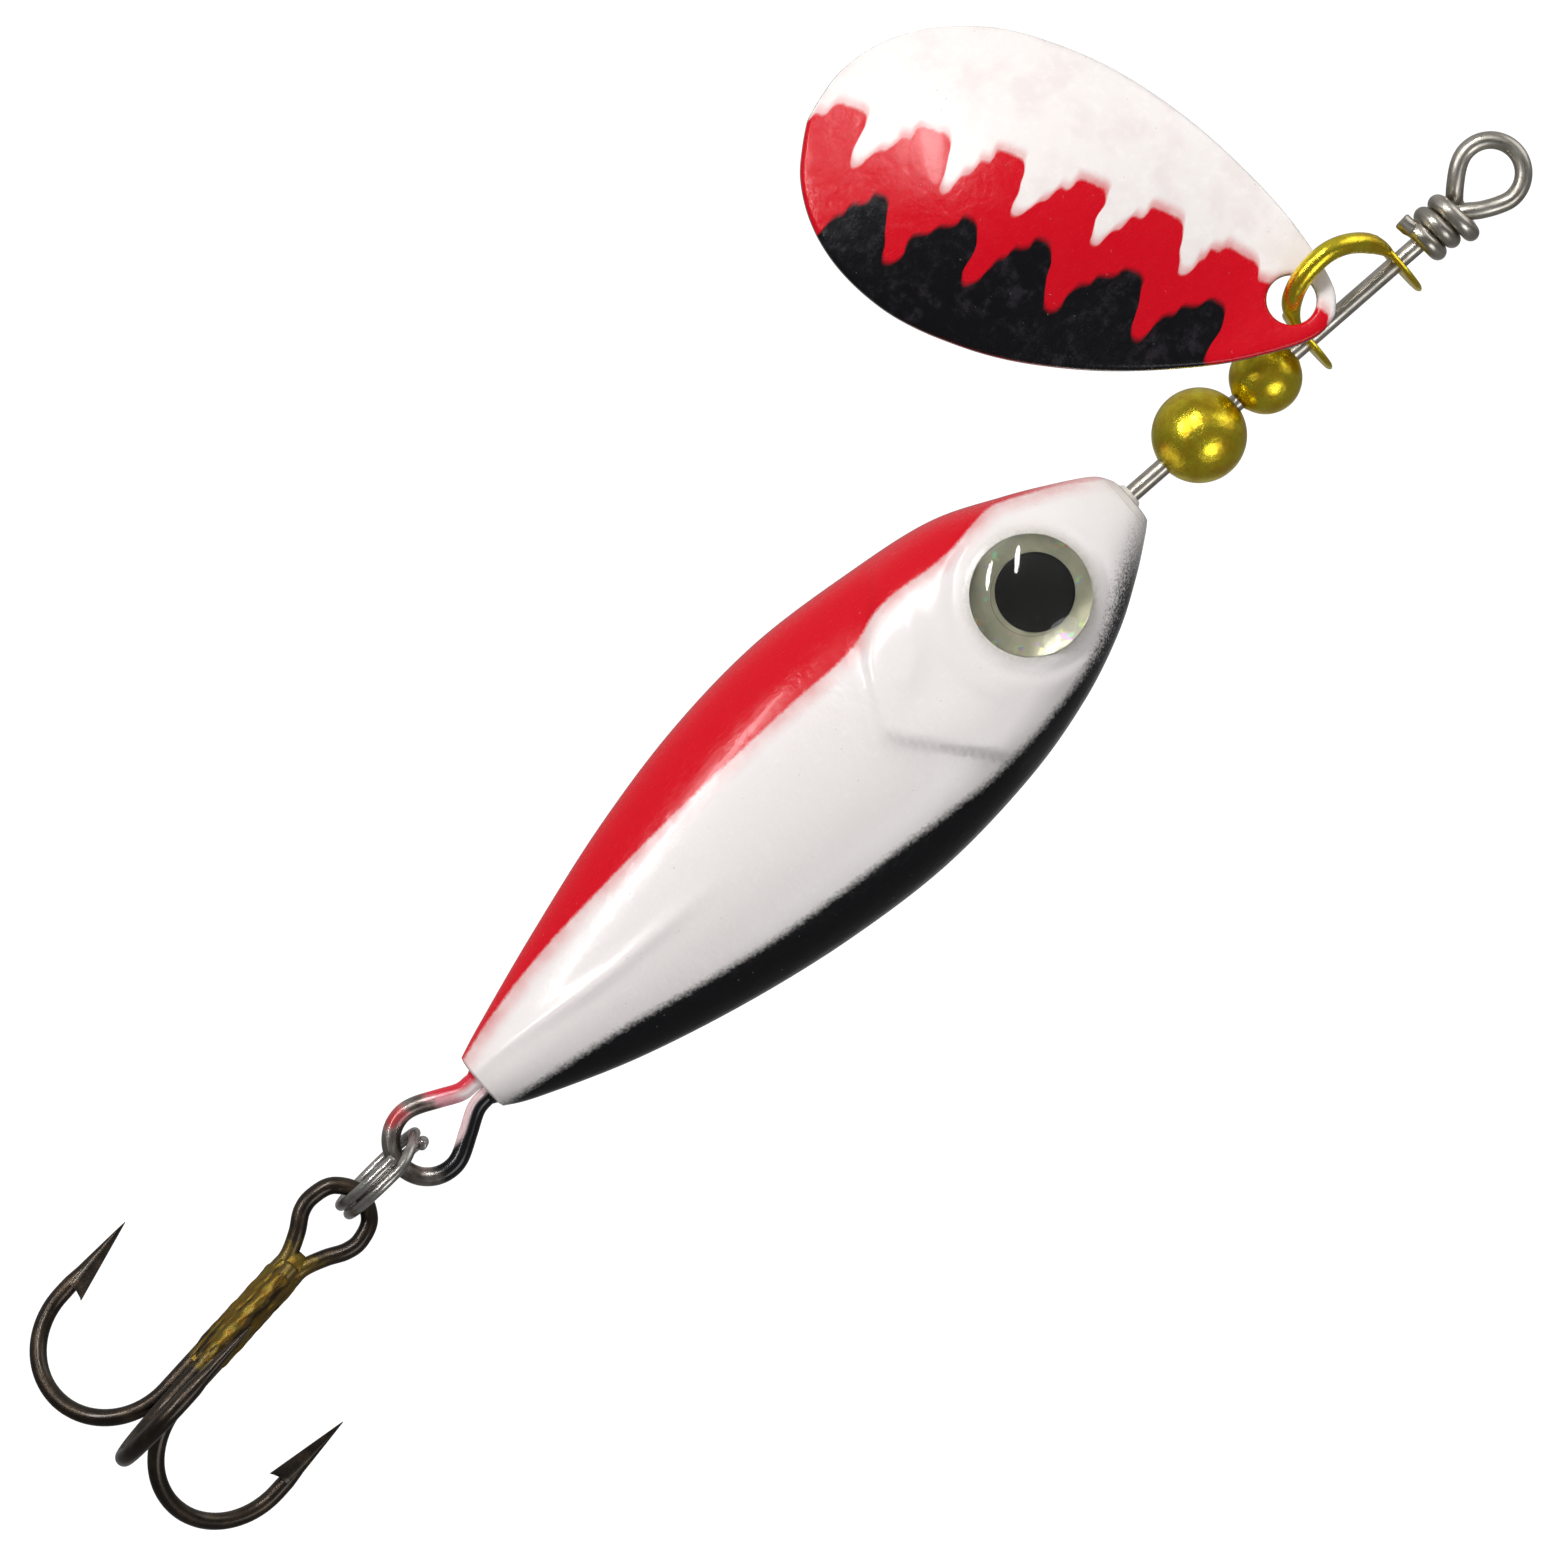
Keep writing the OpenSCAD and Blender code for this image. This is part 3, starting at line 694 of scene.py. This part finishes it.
shaft_run = [(0, 0, SHAFT_FOOT + k) for k in range(41)]
wire = Shape()
wire.sweep(shaft_run + line_eye + wraps + cut_end, SHAFT_R, 24, blunt=(True, True))
wire.make("shaft_wire_look", [shaft_steel.material], "root", ["shaft_wire"], "stainless_wire")

# ---------------- clevis

BOW_STEP = 2.25   # degrees
BOW_MIDDLE = (CLEVIS_TOP + CLEVIS_BOTTOM) / 2
BOW_HALF = (CLEVIS_TOP - CLEVIS_BOTTOM) / 2
clevis_brass = brass("clevis_brass", 0.24)
clevis = Shape()
disc_edge = [(1.84, 0.03), (1.80, 0.1), (1.70, 0.155), (0.62, 0.16), (0.53, 0.13)]
disc = disc_edge + [(r, -h) for r, h in reversed(disc_edge)] + [(1.86, 0.0)]
for height in (CLEVIS_TOP, CLEVIS_BOTTOM):
    clevis.lathe(disc, (0, 0, height), sides=72)
bow, bow_sizes = [], []
for k in range(81):
    turn = math.radians(90 - BOW_STEP * k)
    lean = 0.75 if turn < 0 else 1.35
    reach = BOW_START + BOW_REACH * max(math.cos(turn), 0) ** lean
    bow.append((-reach, 0, BOW_MIDDLE + BOW_HALF * math.sin(turn)))
    swell = min(1, 0.32 + math.sin(math.radians(BOW_STEP * k)) * 1.1)
    bow_sizes.append((BOW_R * (1.25 - 0.25 * swell), BOW_R * swell))
clevis.sweep(bow, bow_sizes, 28)
clevis.moved(CLEVIS_TURN)
clevis.make("clevis_look", [clevis_brass.material], "clevis", ["clevis"], "clevis_brass", 50)

# ---------------- beads

BEAD_FLAT = 0.985   # share of the radius
BEAD_STEPS = 44
bead_brass = brass("bead_brass", 0.26)
for name, radius, height in BEADS:
    flat = radius * BEAD_FLAT
    start = math.degrees(math.asin(flat / radius)) - 1.5
    turns = [math.radians(start - 2 * start * k / BEAD_STEPS) for k in range(BEAD_STEPS + 1)]
    outside = [(radius * math.cos(t), radius * math.sin(t)) for t in turns]
    bore = [(BORE_R + 0.03, 0.02), (BORE_R, 0.1)]
    bead = Shape()
    bead.lathe(
        [p for p in outside if p[0] > BORE_R + 0.1]
        + [(r, -flat + h) for r, h in bore]
        + [(r, flat - h) for r, h in reversed(bore)],
        (0, 0, height),
        sides=96,
    )
    bead.make(name + "_look", [bead_brass.material], name, [name], "bead_brass", 45)

# ---------------- blade

EDGE_STEPS = (0.0, 0.03, 0.08, 0.16, 0.27)   # how far in the rows of the rounded edge lie
EDGE_GAP = 0.28
GRID = 0.42
GRID_ROW = 0.87
INSIDE = 1.0   # the depth given to points within the edge
HALF_WIDTHS = smooth(
    [(0, 0), (0.012, 0.13), (0.05, 0.27), (0.14, 0.49), (0.24, 0.67), (0.36, 0.84), (0.5, 0.965),
     (0.62, 1), (0.74, 0.965), (0.85, 0.82), (0.93, 0.6), (0.98, 0.32), (1, 0)],
    2,
)
fine_rows = smooth(HALF_WIDTHS, 6)


def half_width(x):
    return between(x / BLADE_L, fine_rows) * BLADE_W / 2


def blade_rise(s):
    """How far the blade is cupped along its middle, at a share of its length."""
    if s <= BLADE_FLAT or s >= 1:
        return 0.0
    return BLADE_CUP * math.sin(math.pi * ((s - BLADE_FLAT) / (1 - BLADE_FLAT)) ** 1.12) ** 1.1


def blade_height(p):
    half = half_width(p.x)
    across = min(1.0, abs(p.y) / half) if half > 1e-6 else 1.0
    return blade_rise(p.x / BLADE_L) * (1 - across * across)


def evened(points, gap):
    """The closed line again, with points an even gap apart."""
    ring = points + [points[0]]
    lengths = [0.0]
    for a, b in zip(ring, ring[1:]):
        lengths.append(lengths[-1] + (b - a).length)
    count = int(lengths[-1] / gap)
    out, j = [], 0
    for k in range(count):
        want = lengths[-1] * k / count
        while lengths[j + 1] < want:
            j += 1
        share = (want - lengths[j]) / max(lengths[j + 1] - lengths[j], 1e-9)
        out.append(ring[j].lerp(ring[j + 1], share))
    return out


def inset(points, distance):
    """The closed line moved inwards."""
    out, n = [], len(points)
    for i, p in enumerate(points):
        along = (points[(i + 1) % n] - points[i - 1]).normalized()
        out.append(p + Vector((along.y, -along.x)) * distance)
    return out


upper_edge = [Vector((s * BLADE_L, w * BLADE_W / 2)) for s, w in fine_rows]
outline = evened(upper_edge + [Vector((p.x, -p.y)) for p in reversed(upper_edge[1:-1])], EDGE_GAP)
loops = [inset(outline, d) for d in EDGE_STEPS]
hole = Vector((BLADE_HEEL, 0))
hole_loops = [
    [hole + Vector((math.cos(t), math.sin(t))) * (BLADE_HOLE_R + d) for t in round_turns(64)]
    for d in EDGE_STEPS
]
flat_points, flat_edges, depth = [], [], []
for ring, d in zip(loops + hole_loops, EDGE_STEPS * 2):
    first = len(flat_points)
    flat_points += ring
    depth += [d] * len(ring)
    flat_edges += [(first + i, first + (i + 1) % len(ring)) for i in range(len(ring))]
for i in range(int(BLADE_L / GRID)):
    for j in range(-22, 23):
        p = Vector(((i + 0.5 * (j % 2)) * GRID, j * GRID * GRID_ROW))
        if half_width(p.x) - abs(p.y) < 0.25 or (p - hole).length < BLADE_HOLE_R + 0.5:
            continue
        if min((p - q).length for q in loops[-1]) > 0.3:
            flat_points.append(p)
            depth.append(INSIDE)
points, _, triangles, sources, _, _ = geometry.delaunay_2d_cdt(flat_points, flat_edges, [], 0, 1e-7)
depths = [min((depth[i] for i in source), default=INSIDE) for source in sources]
sheet = Shape()
for side in (1, -1):
    for p, d in zip(points, depths):
        full = math.sqrt(max(0.0, 1 - (1 - min(d / EDGE_STEPS[-1], 1)) ** 2))
        sheet.verts.append((p.x - BLADE_HEEL, p.y, blade_height(p) + side * BLADE_T / 2 * full))
for triangle in triangles:
    middle = sum((points[i] for i in triangle), Vector((0, 0))) / 3
    if (middle - hole).length < BLADE_HOLE_R * 0.999 or abs(middle.y) > half_width(middle.x):
        continue
    edge = all(depths[i] <= EDGE_STEPS[1] for i in triangle)
    sheet.face(triangle, index=1 if edge else 0)
    sheet.face([i + len(points) for i in reversed(triangle)], index=1)
sheet.moved(BLADE_TURN, BLADE_AT)
blade_looks = [blade_paint().material, plated_back().material]
sheet.make("blade_look", blade_looks, "blade", ["blade"], "painted_blade", 60)

# ---------------- body

BODY_SIDES = 150
BODY_ROWS = smooth(   # share of the length, half width, middle, half thickness, roundness
    [
        (0, 1.3, 0.2, 1.1, 2.2), (0.014, 1.98, 0.05, 1.6, 2.3), (0.053, 3.12, 0.17, 2.5, 2.4),
        (0.11, 4.5, 0.3, 3.4, 2.5), (0.19, 5.93, 0.3, 4.1, 2.4), (0.294, 6.83, 0.5, 4.45, 2.2),
        (0.432, 7.33, 0.57, 4.6, 2.1), (0.57, 6.88, 0.65, 4.3, 2.0), (0.708, 5.75, 0.8, 3.65, 1.9),
        (0.846, 4.1, 0.95, 2.8, 1.8), (0.961, 2.35, 0.9, 1.85, 1.8), (1, 1.6, 0.8, 1.3, 1.9),
    ],
    19,
)
NOSE_CAP = ((0.35, 0.1), (0.62, 0.085), (0.82, 0.055), (0.93, 0.02))   # share of the row, way out
TAIL_CAP = ((0.95, 0.03), (0.86, 0.08), (0.7, 0.115), (0.4, 0.13))
GILL_EDGE = smooth(
    [(-7.5, -35.6), (-5.4, -36.6), (-4.2, -37.6), (-2.6, -39.5), (0.2, -41.0), (0.95, -41.2), (1.8, -40.8),
     (3.2, -39.6), (5.2, -37.9), (6.4, -37.2), (8.5, -36.6)],
    5,
)


def nearest(x, z, line):
    """The distance to a line of (x, z) points, and 1 or -1 for the side of it."""
    best, side = math.inf, 1.0
    for (ax, az), (bx, bz) in zip(line, line[1:]):
        dx, dz = bx - ax, bz - az
        t = max(0.0, min(1.0, ((x - ax) * dx + (z - az) * dz) / (dx * dx + dz * dz)))
        px, pz = x - ax - dx * t, z - az - dz * t
        squared = px * px + pz * pz
        if squared < best:
            best, side = squared, math.copysign(1.0, dx * pz - dz * px)
    return math.sqrt(best), side


def ridge(x, z, line, width):
    """A soft ridge along a line of (x, z) points, 1 at its crest."""
    return math.exp(-((nearest(x, z, line)[0] / width) ** 2))


def flank_relief(x, z):
    """Raised detail on a flank: gill cover, cheek, eye socket and the keel line of the tail."""
    out = 0.0
    if -46 < z < -24.5:
        distance, side = nearest(x, z, GILL_EDGE)
        d = side * distance   # positive in front of the gill cover's edge
        out += 0.4 * step(-0.14, 0.2, d) * (1 - 0.85 * step(0.2, 4.5, d))
        out -= 0.1 * math.exp(-(((d + 0.3) / 0.3) ** 2))
        out += 0.09 * ridge(x, z, [(-2.4, -36.6), (-1.2, -37.2), (-0.3, -38.6)], 0.35)
        out += 0.07 * ridge(x, z, [(-0.4, -36.1), (1.4, -36.25), (3.4, -35.6)], 0.3)
        eye = math.hypot(x - EYE_X, z - EYE_Z)
        out -= 0.2 * step(4.5, 3.3, eye)
        out += 0.08 * math.exp(-(((eye - 4.6) / 0.7) ** 2))
    if z < -50:
        crest = 0.9 - 0.75 * step(-58, -67, z)
        out += 0.16 * math.exp(-(((x - crest) / 0.42) ** 2)) * step(-51, -57, z)
    return out


def rounded(v, power):
    """A sine or cosine bent to the outline of a superellipse."""
    return math.copysign(abs(v) ** (2 / power), v)


def body_ring(row, share=1.0, lift=0.0):
    """The body's outline at a row, with the relief of both flanks."""
    s, width, middle, thick, power = row
    z = NOSE_Z - s * BODY_L + lift
    ring = []
    for a in round_turns(BODY_SIDES):
        x = middle + width * share * rounded(math.cos(a), power)
        y = thick * share * rounded(math.sin(a), power)
        flank = step(0.25, 0.75, abs(math.sin(a)))
        y += math.copysign(flank_relief(x, z) * flank, y) if abs(y) > 0.3 else 0
        ring.append((x, y, z))
    return ring


body = Shape()
body.rings(
    [body_ring(BODY_ROWS[0], share, out) for share, out in NOSE_CAP]
    + [body_ring(row) for row in BODY_ROWS]
    + [body_ring(BODY_ROWS[-1], share, -out) for share, out in TAIL_CAP]
)
collar = [(0.5, 0.27), (0.56, 0.29), (0.62, 0.24), (0.68, 0.14), (0.8, 0.05), (1.0, -0.02)]
body.lathe(collar + [(1.0, -0.5), (0.5, -0.5)], (0, 0, NOSE_Z), sides=48)
flanks = (
    ("right", turned_about("X", 90), (EYE_X, -EYE_Y, EYE_Z)),
    ("left", turned_about("X", -90), (EYE_X, EYE_Y, EYE_Z)),
)
sockets = Shape()
for _, turn, centre in flanks:
    profile = [(0.001, SOCKET_FLOOR), (SOCKET_R, SOCKET_FLOOR), (SOCKET_R, 4.0), (0.001, 4.0)]
    sockets.lathe(profile, centre, turn, 128)
body.make("body_look", [body_paint().material], "root", ["body_casting"], "body_paint", 55, sockets)

# ---------------- eyes

DOME_STEPS = 24
resin_look = resin().material
sphere = (DOME_R**2 + DOME_RISE**2) / (2 * DOME_RISE)
recess = DOME_BASE + DOME_RECESS
dome_profile = [
    (0.002, recess), (PUPIL_R + 0.03, recess), (PUPIL_R + 0.04, DOME_BASE),
    (DOME_R, DOME_BASE), (DOME_R, DOME_BASE + DOME_RIM * 0.8),
]
radii = [DOME_R * math.sin(math.radians(90 * k / DOME_STEPS)) for k in range(DOME_STEPS, 0, -1)]
for r in radii + [0.002]:
    cap = math.sqrt(sphere**2 - r * r) - (sphere - DOME_RISE)
    dome_profile.append((r, DOME_BASE + DOME_RIM + cap))
for label, turn, centre in flanks:
    dome = Shape()
    dome.lathe(dome_profile, centre, turn, 96, closed=False)
    dome.make(label + "_eye_dome_look", [resin_look], "root", [label + "_eye_dome"], "eye_resin", 50)
node_looks = {
    "eye_foil": eye_foil(),
    "eye_pad": plain("eye_pad", (0.80, 0.79, 0.72), (0.68, 0.67, 0.6), 0.6, 3),
    "eye_pupil": plain("eye_pupil", (0.0012, 0.0012, 0.002), (0.0025, 0.0025, 0.0035), 0.6, 2),
}
for label, _, _ in flanks:
    for part, look in node_looks.items():
        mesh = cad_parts[f"{label}_{part}"].data
        mesh.materials.clear()
        mesh.materials.append(look.material)

# ---------------- tail loop and split ring

leg_down = [(0.5, 3), (0.5, 0.5), (0.5, -0.5), (0.45, -1.2), (0.0, -2.2)]
leg_up = [(2.25, -2.2), (1.65, -1.2), (1.5, -0.5), (1.5, 0.5), (1.5, 3)]
tail_loop = smooth(
    [(x, 0, TAIL_Z + h) for x, h in leg_down]
    + arc(1.2, TAIL_Z - 4, 1.83, 158, 382, 9)
    + [(x, 0, TAIL_Z + h) for x, h in leg_up],
    9,
)
loop = Shape()
loop.sweep(tail_loop, LOOP_R, 24)
paint_collar = [(0.46, 0.4), (0.95, 0.4), (0.72, -0.02), (0.58, -0.12), (0.5, -0.3), (0.46, -0.32)]
for x in LEGS:   # paint drawn down each leg where it leaves the casting
    loop.lathe(paint_collar, (x, 0, TAIL_Z), sides=32)
loop.make("tail_loop_look", [painted_wire().material], "root", ["tail_loop"], "stainless_wire")

ring_steel = steel("ring_steel", (0.55, 0.53, 0.50), (0.38, 0.36, 0.335), 0.28)
ring = Shape()
coil = []
for k in range(225):
    a = 28 + 3 * k
    across = 0.30 * max(-1, min(1, (a - 360) / 26))
    turn = math.radians(a + 130)
    coil.append((across, RING_R * math.cos(turn), RING_R * math.sin(turn)))
ring.sweep(coil, RING_WIRE_R, 18, (1, 0, 0), (True, True))
ring.moved(RING_TURN, RING_AT)
ring.make("split_ring_look", [ring_steel.material], "split_ring", ["split_ring"], "ring_steel")

# ---------------- treble hook

BEND_STEPS = 48
POINT_ROWS = 22
SWELL = 0.42   # the thickest place of the ground point, as a share of its depth
EYE_WIRE = (   # round the hook eye, from the first hook's shank to the second's
    (-0.95, 0.1, -2.45), (-1.5, 0, -1.5), (-1.6, 0, -0.6), (-1.2, 0, 0.5), (0.02, 0, 1.12),
    (1.26, 0, 0.5), (1.66, 0, -0.6), (1.5, 0, -1.5), (0.95, 0.1, -2.45),
)
SHANK_WIRE = ((SHANK_R, -11.5), (SHANK_R, -10), (SHANK_R, -7), (SHANK_R, -4.6), (SHANK_R + 0.03, -3.6))


def on_hook(radial, z, azimuth, aside=0.0):
    """A point in the plane of one hook, or beside it."""
    t = math.radians(azimuth)
    return (radial * math.cos(t) - aside * math.sin(t), radial * math.sin(t) + aside * math.cos(t), z)


def hook_wire(azimuth):
    """From the foot of the shank round the bend and up inside the point, with its sizes."""
    line, sizes = [], []
    for k in range(BEND_STEPS + 1):
        a = math.pi + math.pi * k / BEND_STEPS
        radial = SHANK_R + BEND_R + BEND_R * math.cos(a)
        line.append(on_hook(radial, BEND_Z + BEND_R * math.sin(a), azimuth))
        sizes.append((HOOK_R, HOOK_R))
    for rise, r in ((0.3, 0.44), (0.8, 0.43), (1.4, 0.36), (2.4, 0.22)):
        line.append(on_hook(HOOK_SPREAD, BEND_Z + rise, azimuth))
        sizes.append((r, r))
    return line, sizes


def hook_point(shape, azimuth):
    """The ground point: a blade-like wedge whose inner edge ends in the barb."""
    rings = []
    for k in range(POINT_ROWS + 1):
        f = 0.012 + 0.988 * k / POINT_ROWS
        z = POINT_TIP + (BARB_Z - POINT_TIP) * f
        outer = 8.62 + 0.3 * f
        inner = outer - 0.03 - 1.43 * f
        thick = 0.43 * f**0.75
        half = []
        for u in (0.0, 0.04, 0.12, 0.26, 0.45, 0.62, 0.8, 0.94, 1.0):
            swell = math.sqrt(1 - (1 - min(u / SWELL, 1)) ** 2)
            edge = 1 - 0.86 * max(0.0, (u - SWELL) / (1 - SWELL)) ** 0.9
            half.append((outer + (inner - outer) * u, thick * swell * edge))
        sides = half + [(r, -t) for r, t in reversed(half[1:])]
        lift = 0.42 if k == POINT_ROWS else 0.0
        rings.append([on_hook(r, z + lift * min(1, (r - inner) / 0.62), azimuth, t) for r, t in sides])
    shape.rings(rings)


def bent_pair():
    """The wire of the first two hooks, from one point through the hook eye to the other point."""
    left, left_sizes = hook_wire(HOOK_AZIMUTHS[0])
    right, right_sizes = hook_wire(HOOK_AZIMUTHS[1])
    up = [on_hook(r, z, HOOK_AZIMUTHS[0]) for r, z in SHANK_WIRE]
    down = [on_hook(r, z, HOOK_AZIMUTHS[1]) for r, z in reversed(SHANK_WIRE)]
    eye = smooth(up + list(EYE_WIRE) + down, 9)
    return left[::-1] + eye + right, left_sizes[::-1] + [(HOOK_R, HOOK_R)] * len(eye) + right_sizes


def shank_reach(turn):
    """How far out the wires of the three shanks reach at an angle; 0 in the gaps between them."""
    reach = 0.0
    for azimuth in HOOK_AZIMUTHS:
        off = turn - math.radians(azimuth)
        inside = HOOK_R**2 - (SHANK_R * math.sin(off)) ** 2
        if inside > 0 and math.cos(off) > -0.2:
            reach = max(reach, SHANK_R * math.cos(off) + math.sqrt(inside))
    return reach


hook_look = hook_bronze().material
pair = Shape()
line, sizes = bent_pair()
pair.sweep(line, sizes, 22)
for azimuth in HOOK_AZIMUTHS[:2]:
    hook_point(pair, azimuth)
pair.moved(HOOK_TURN, HOOK_AT)
pair.make("treble_double_hook_look", [hook_look], "treble_hook", ["treble_double_hook"], "bronzed_hook", 35)

single = Shape()
line, sizes = hook_wire(HOOK_AZIMUTHS[2])
shank = [on_hook(SHANK_R, -3.9 - 0.75 * k, HOOK_AZIMUTHS[2]) for k in range(11)]
single.sweep(shank + line, [(HOOK_R, HOOK_R)] * len(shank) + sizes, 22, (0.1, -1, 0), (True, False))
hook_point(single, HOOK_AZIMUTHS[2])
single.moved(HOOK_TURN, HOOK_AT)
single.make("treble_single_hook_look", [hook_look], "treble_hook", ["treble_single_hook"], "bronzed_hook", 35)

FILM_ROWS = 64
WEB_ROWS = 15
braze = Shape()
film = []
for i in range(FILM_ROWS):
    z = -3.95 - 6.7 * i / (FILM_ROWS - 1)
    end = min(step(-3.95, -4.75, z), step(-10.65, -9.6, z))
    ring_points = []
    for a in round_turns(72):
        uneven = 0.022 * math.sin(7 * a + 1.9 * z) * math.sin(3.1 * z + 2 * a)
        uneven += 0.02 * math.sin(11 * a - 4.3 * z)
        # the film fills the grooves between the wires and thins out at its ragged ends
        r = max(shank_reach(a) + 0.035, 0.74) + uneven
        r -= (0.17 + 0.1 * math.sin(5 * a)) * (1 - end)
        ring_points.append((r * math.cos(a), r * math.sin(a), z))
    film.append(ring_points)
braze.rings(film)
web = []
for k in range(WEB_ROWS):   # the braze that fills the crotch under the eye
    z = -3.05 - 1.5 * k / (WEB_ROWS - 1)
    swell = math.sqrt(max(0.02, 1 - (1 - min(1, k / 7)) ** 2))
    half_x, half_y = 0.12 + 0.5 * swell, 0.04 + 0.36 * swell
    web.append([(half_x * math.cos(t), 0.14 + half_y * math.sin(t), z) for t in round_turns(32)])
braze.rings(web)
braze.moved(HOOK_TURN, HOOK_AT)
braze.make("treble_braze_look", [braze_film().material], "treble_hook", ["treble_braze"], "braze_metal", 70)

# ---------------- stage, light and camera

CENTRE = Vector((-1.14, 0, -46.6)) * MM
PICTURE_UP = Vector((-0.7536, 0, 0.6574))
PICTURE_RIGHT = Vector((0.6574, 0, 0.7536))
DISTANCE = 0.55
FRAME_WIDTH = 0.0775
SENSOR = 36
FLOOR_HALF = 9
FLOOR_Z = -0.95

corners = [(-1, -1), (1, -1), (1, 1), (-1, 1)]
floor_mesh = bpy.data.meshes.new("floor")
floor_mesh.from_pydata([(x * FLOOR_HALF, y * FLOOR_HALF, FLOOR_Z) for x, y in corners], [], [(0, 1, 2, 3)])
floor = bpy.data.objects.new("floor", floor_mesh)
scene.collection.objects.link(floor)
paper = Look("floor_paper", Base_Color=(0.9, 0.9, 0.9), Roughness=0.9)
paper.set(Emission_Color=(1, 1, 1), Emission_Strength=1.0)
floor_mesh.materials.append(paper.material)
floor.visible_diffuse = floor.visible_glossy = floor.visible_transmission = False


def softbox(name, at, size, power, colour=(1, 1, 1), glossy=True, diffuse=True, tall=(0, 0, 1)):
    """A soft light that faces the lure, with its second size along tall."""
    data = bpy.data.lights.new(name, "AREA")
    data.shape = "ELLIPSE"
    data.size, data.size_y = size
    data.energy = power
    data.color = colour
    lamp = bpy.data.objects.new(name, data)
    scene.collection.objects.link(lamp)
    lamp.location = at
    away = (Vector(at) - CENTRE).normalized()
    across = Vector(tall).cross(away).normalized()
    lamp.rotation_mode = "QUATERNION"
    lamp.rotation_quaternion = Matrix((across, away.cross(across), away)).transposed().to_quaternion()
    lamp.visible_camera = False
    lamp.visible_glossy = glossy
    lamp.visible_diffuse = diffuse


WARM = (1.0, 0.99, 0.97)
COOL = (0.98, 0.99, 1.0)
softbox("key_upper", (-0.42, -0.52, 0.12), (0.20, 0.30), 2.2, colour=WARM, glossy=False)
softbox("key_lower", (-0.46, -0.48, -0.26), (0.20, 0.26), 1.8, colour=WARM, glossy=False)
softbox("streak_upper", (-0.38, -0.52, 0.12), (0.05, 0.34), 1.3, diffuse=False, tall=PICTURE_UP)
softbox("streak_lower", (-0.46, -0.48, -0.22), (0.05, 0.34), 1.3, diffuse=False, tall=PICTURE_UP)
softbox("fill_right", (0.55, -0.5, -0.04), (0.30, 0.5), 1.1, colour=COOL)
softbox("top", (0.0, -0.1, 0.6), (0.5, 0.5), 0.8)
softbox("back_left", (-0.55, 0.55, 0.05), (0.4, 0.6), 1.5, glossy=False)
softbox("back_right", (0.55, 0.55, 0.05), (0.4, 0.6), 1.4, glossy=False)

world = bpy.data.worlds.new("studio")
scene.world = world
world.use_nodes = True
sky = Graph(world.node_tree)
direction = sky.node("TexCoord").outputs["Generated"]


def lobe(toward, narrow, wide):
    """1 where the sky lies near a direction, 0 far from it."""
    toward = tuple(Vector(toward).normalized())
    dot = sky.node("VectorMath", direction, toward, operation="DOT_PRODUCT")
    return sky.ease(dot.outputs["Value"], wide, narrow)


def grey(value):
    return (value, value, value)


room = sky.mix(lobe((-0.75, 0.1, 0.6), 0.95, -0.1), grey(0.15), grey(0.42))
room = sky.mix(lobe((0.85, 0.2, -0.3), 0.95, 0.2), room, grey(0.17))
room = sky.mix(lobe((0.2, 1.0, -0.2), 0.98, 0.8), room, grey(0.33))
room = sky.node("Background", room, 1.0).outputs[0]
backdrop = sky.node("Background", grey(1), 1.1).outputs[0]
seen = sky.node("LightPath").outputs["Is Camera Ray"]
blend = sky.node("MixShader", seen, room, backdrop)
sky.plug(sky.tree.nodes["World Output"].inputs["Surface"], blend.outputs[0])

scene.view_settings.view_transform = "Standard"
scene.view_settings.look = "None"

camera = bpy.data.objects.new("camera", bpy.data.cameras.new("camera"))
scene.collection.objects.link(camera)
camera_axes = Matrix((PICTURE_RIGHT, PICTURE_UP, (0, -1, 0))).transposed().to_4x4()
camera.matrix_world = Matrix.Translation(CENTRE + Vector((0, -DISTANCE, 0))) @ camera_axes
camera.data.sensor_width = SENSOR
camera.data.lens = SENSOR * DISTANCE / FRAME_WIDTH
camera.data.clip_start, camera.data.clip_end = 0.01, 50
scene.camera = camera
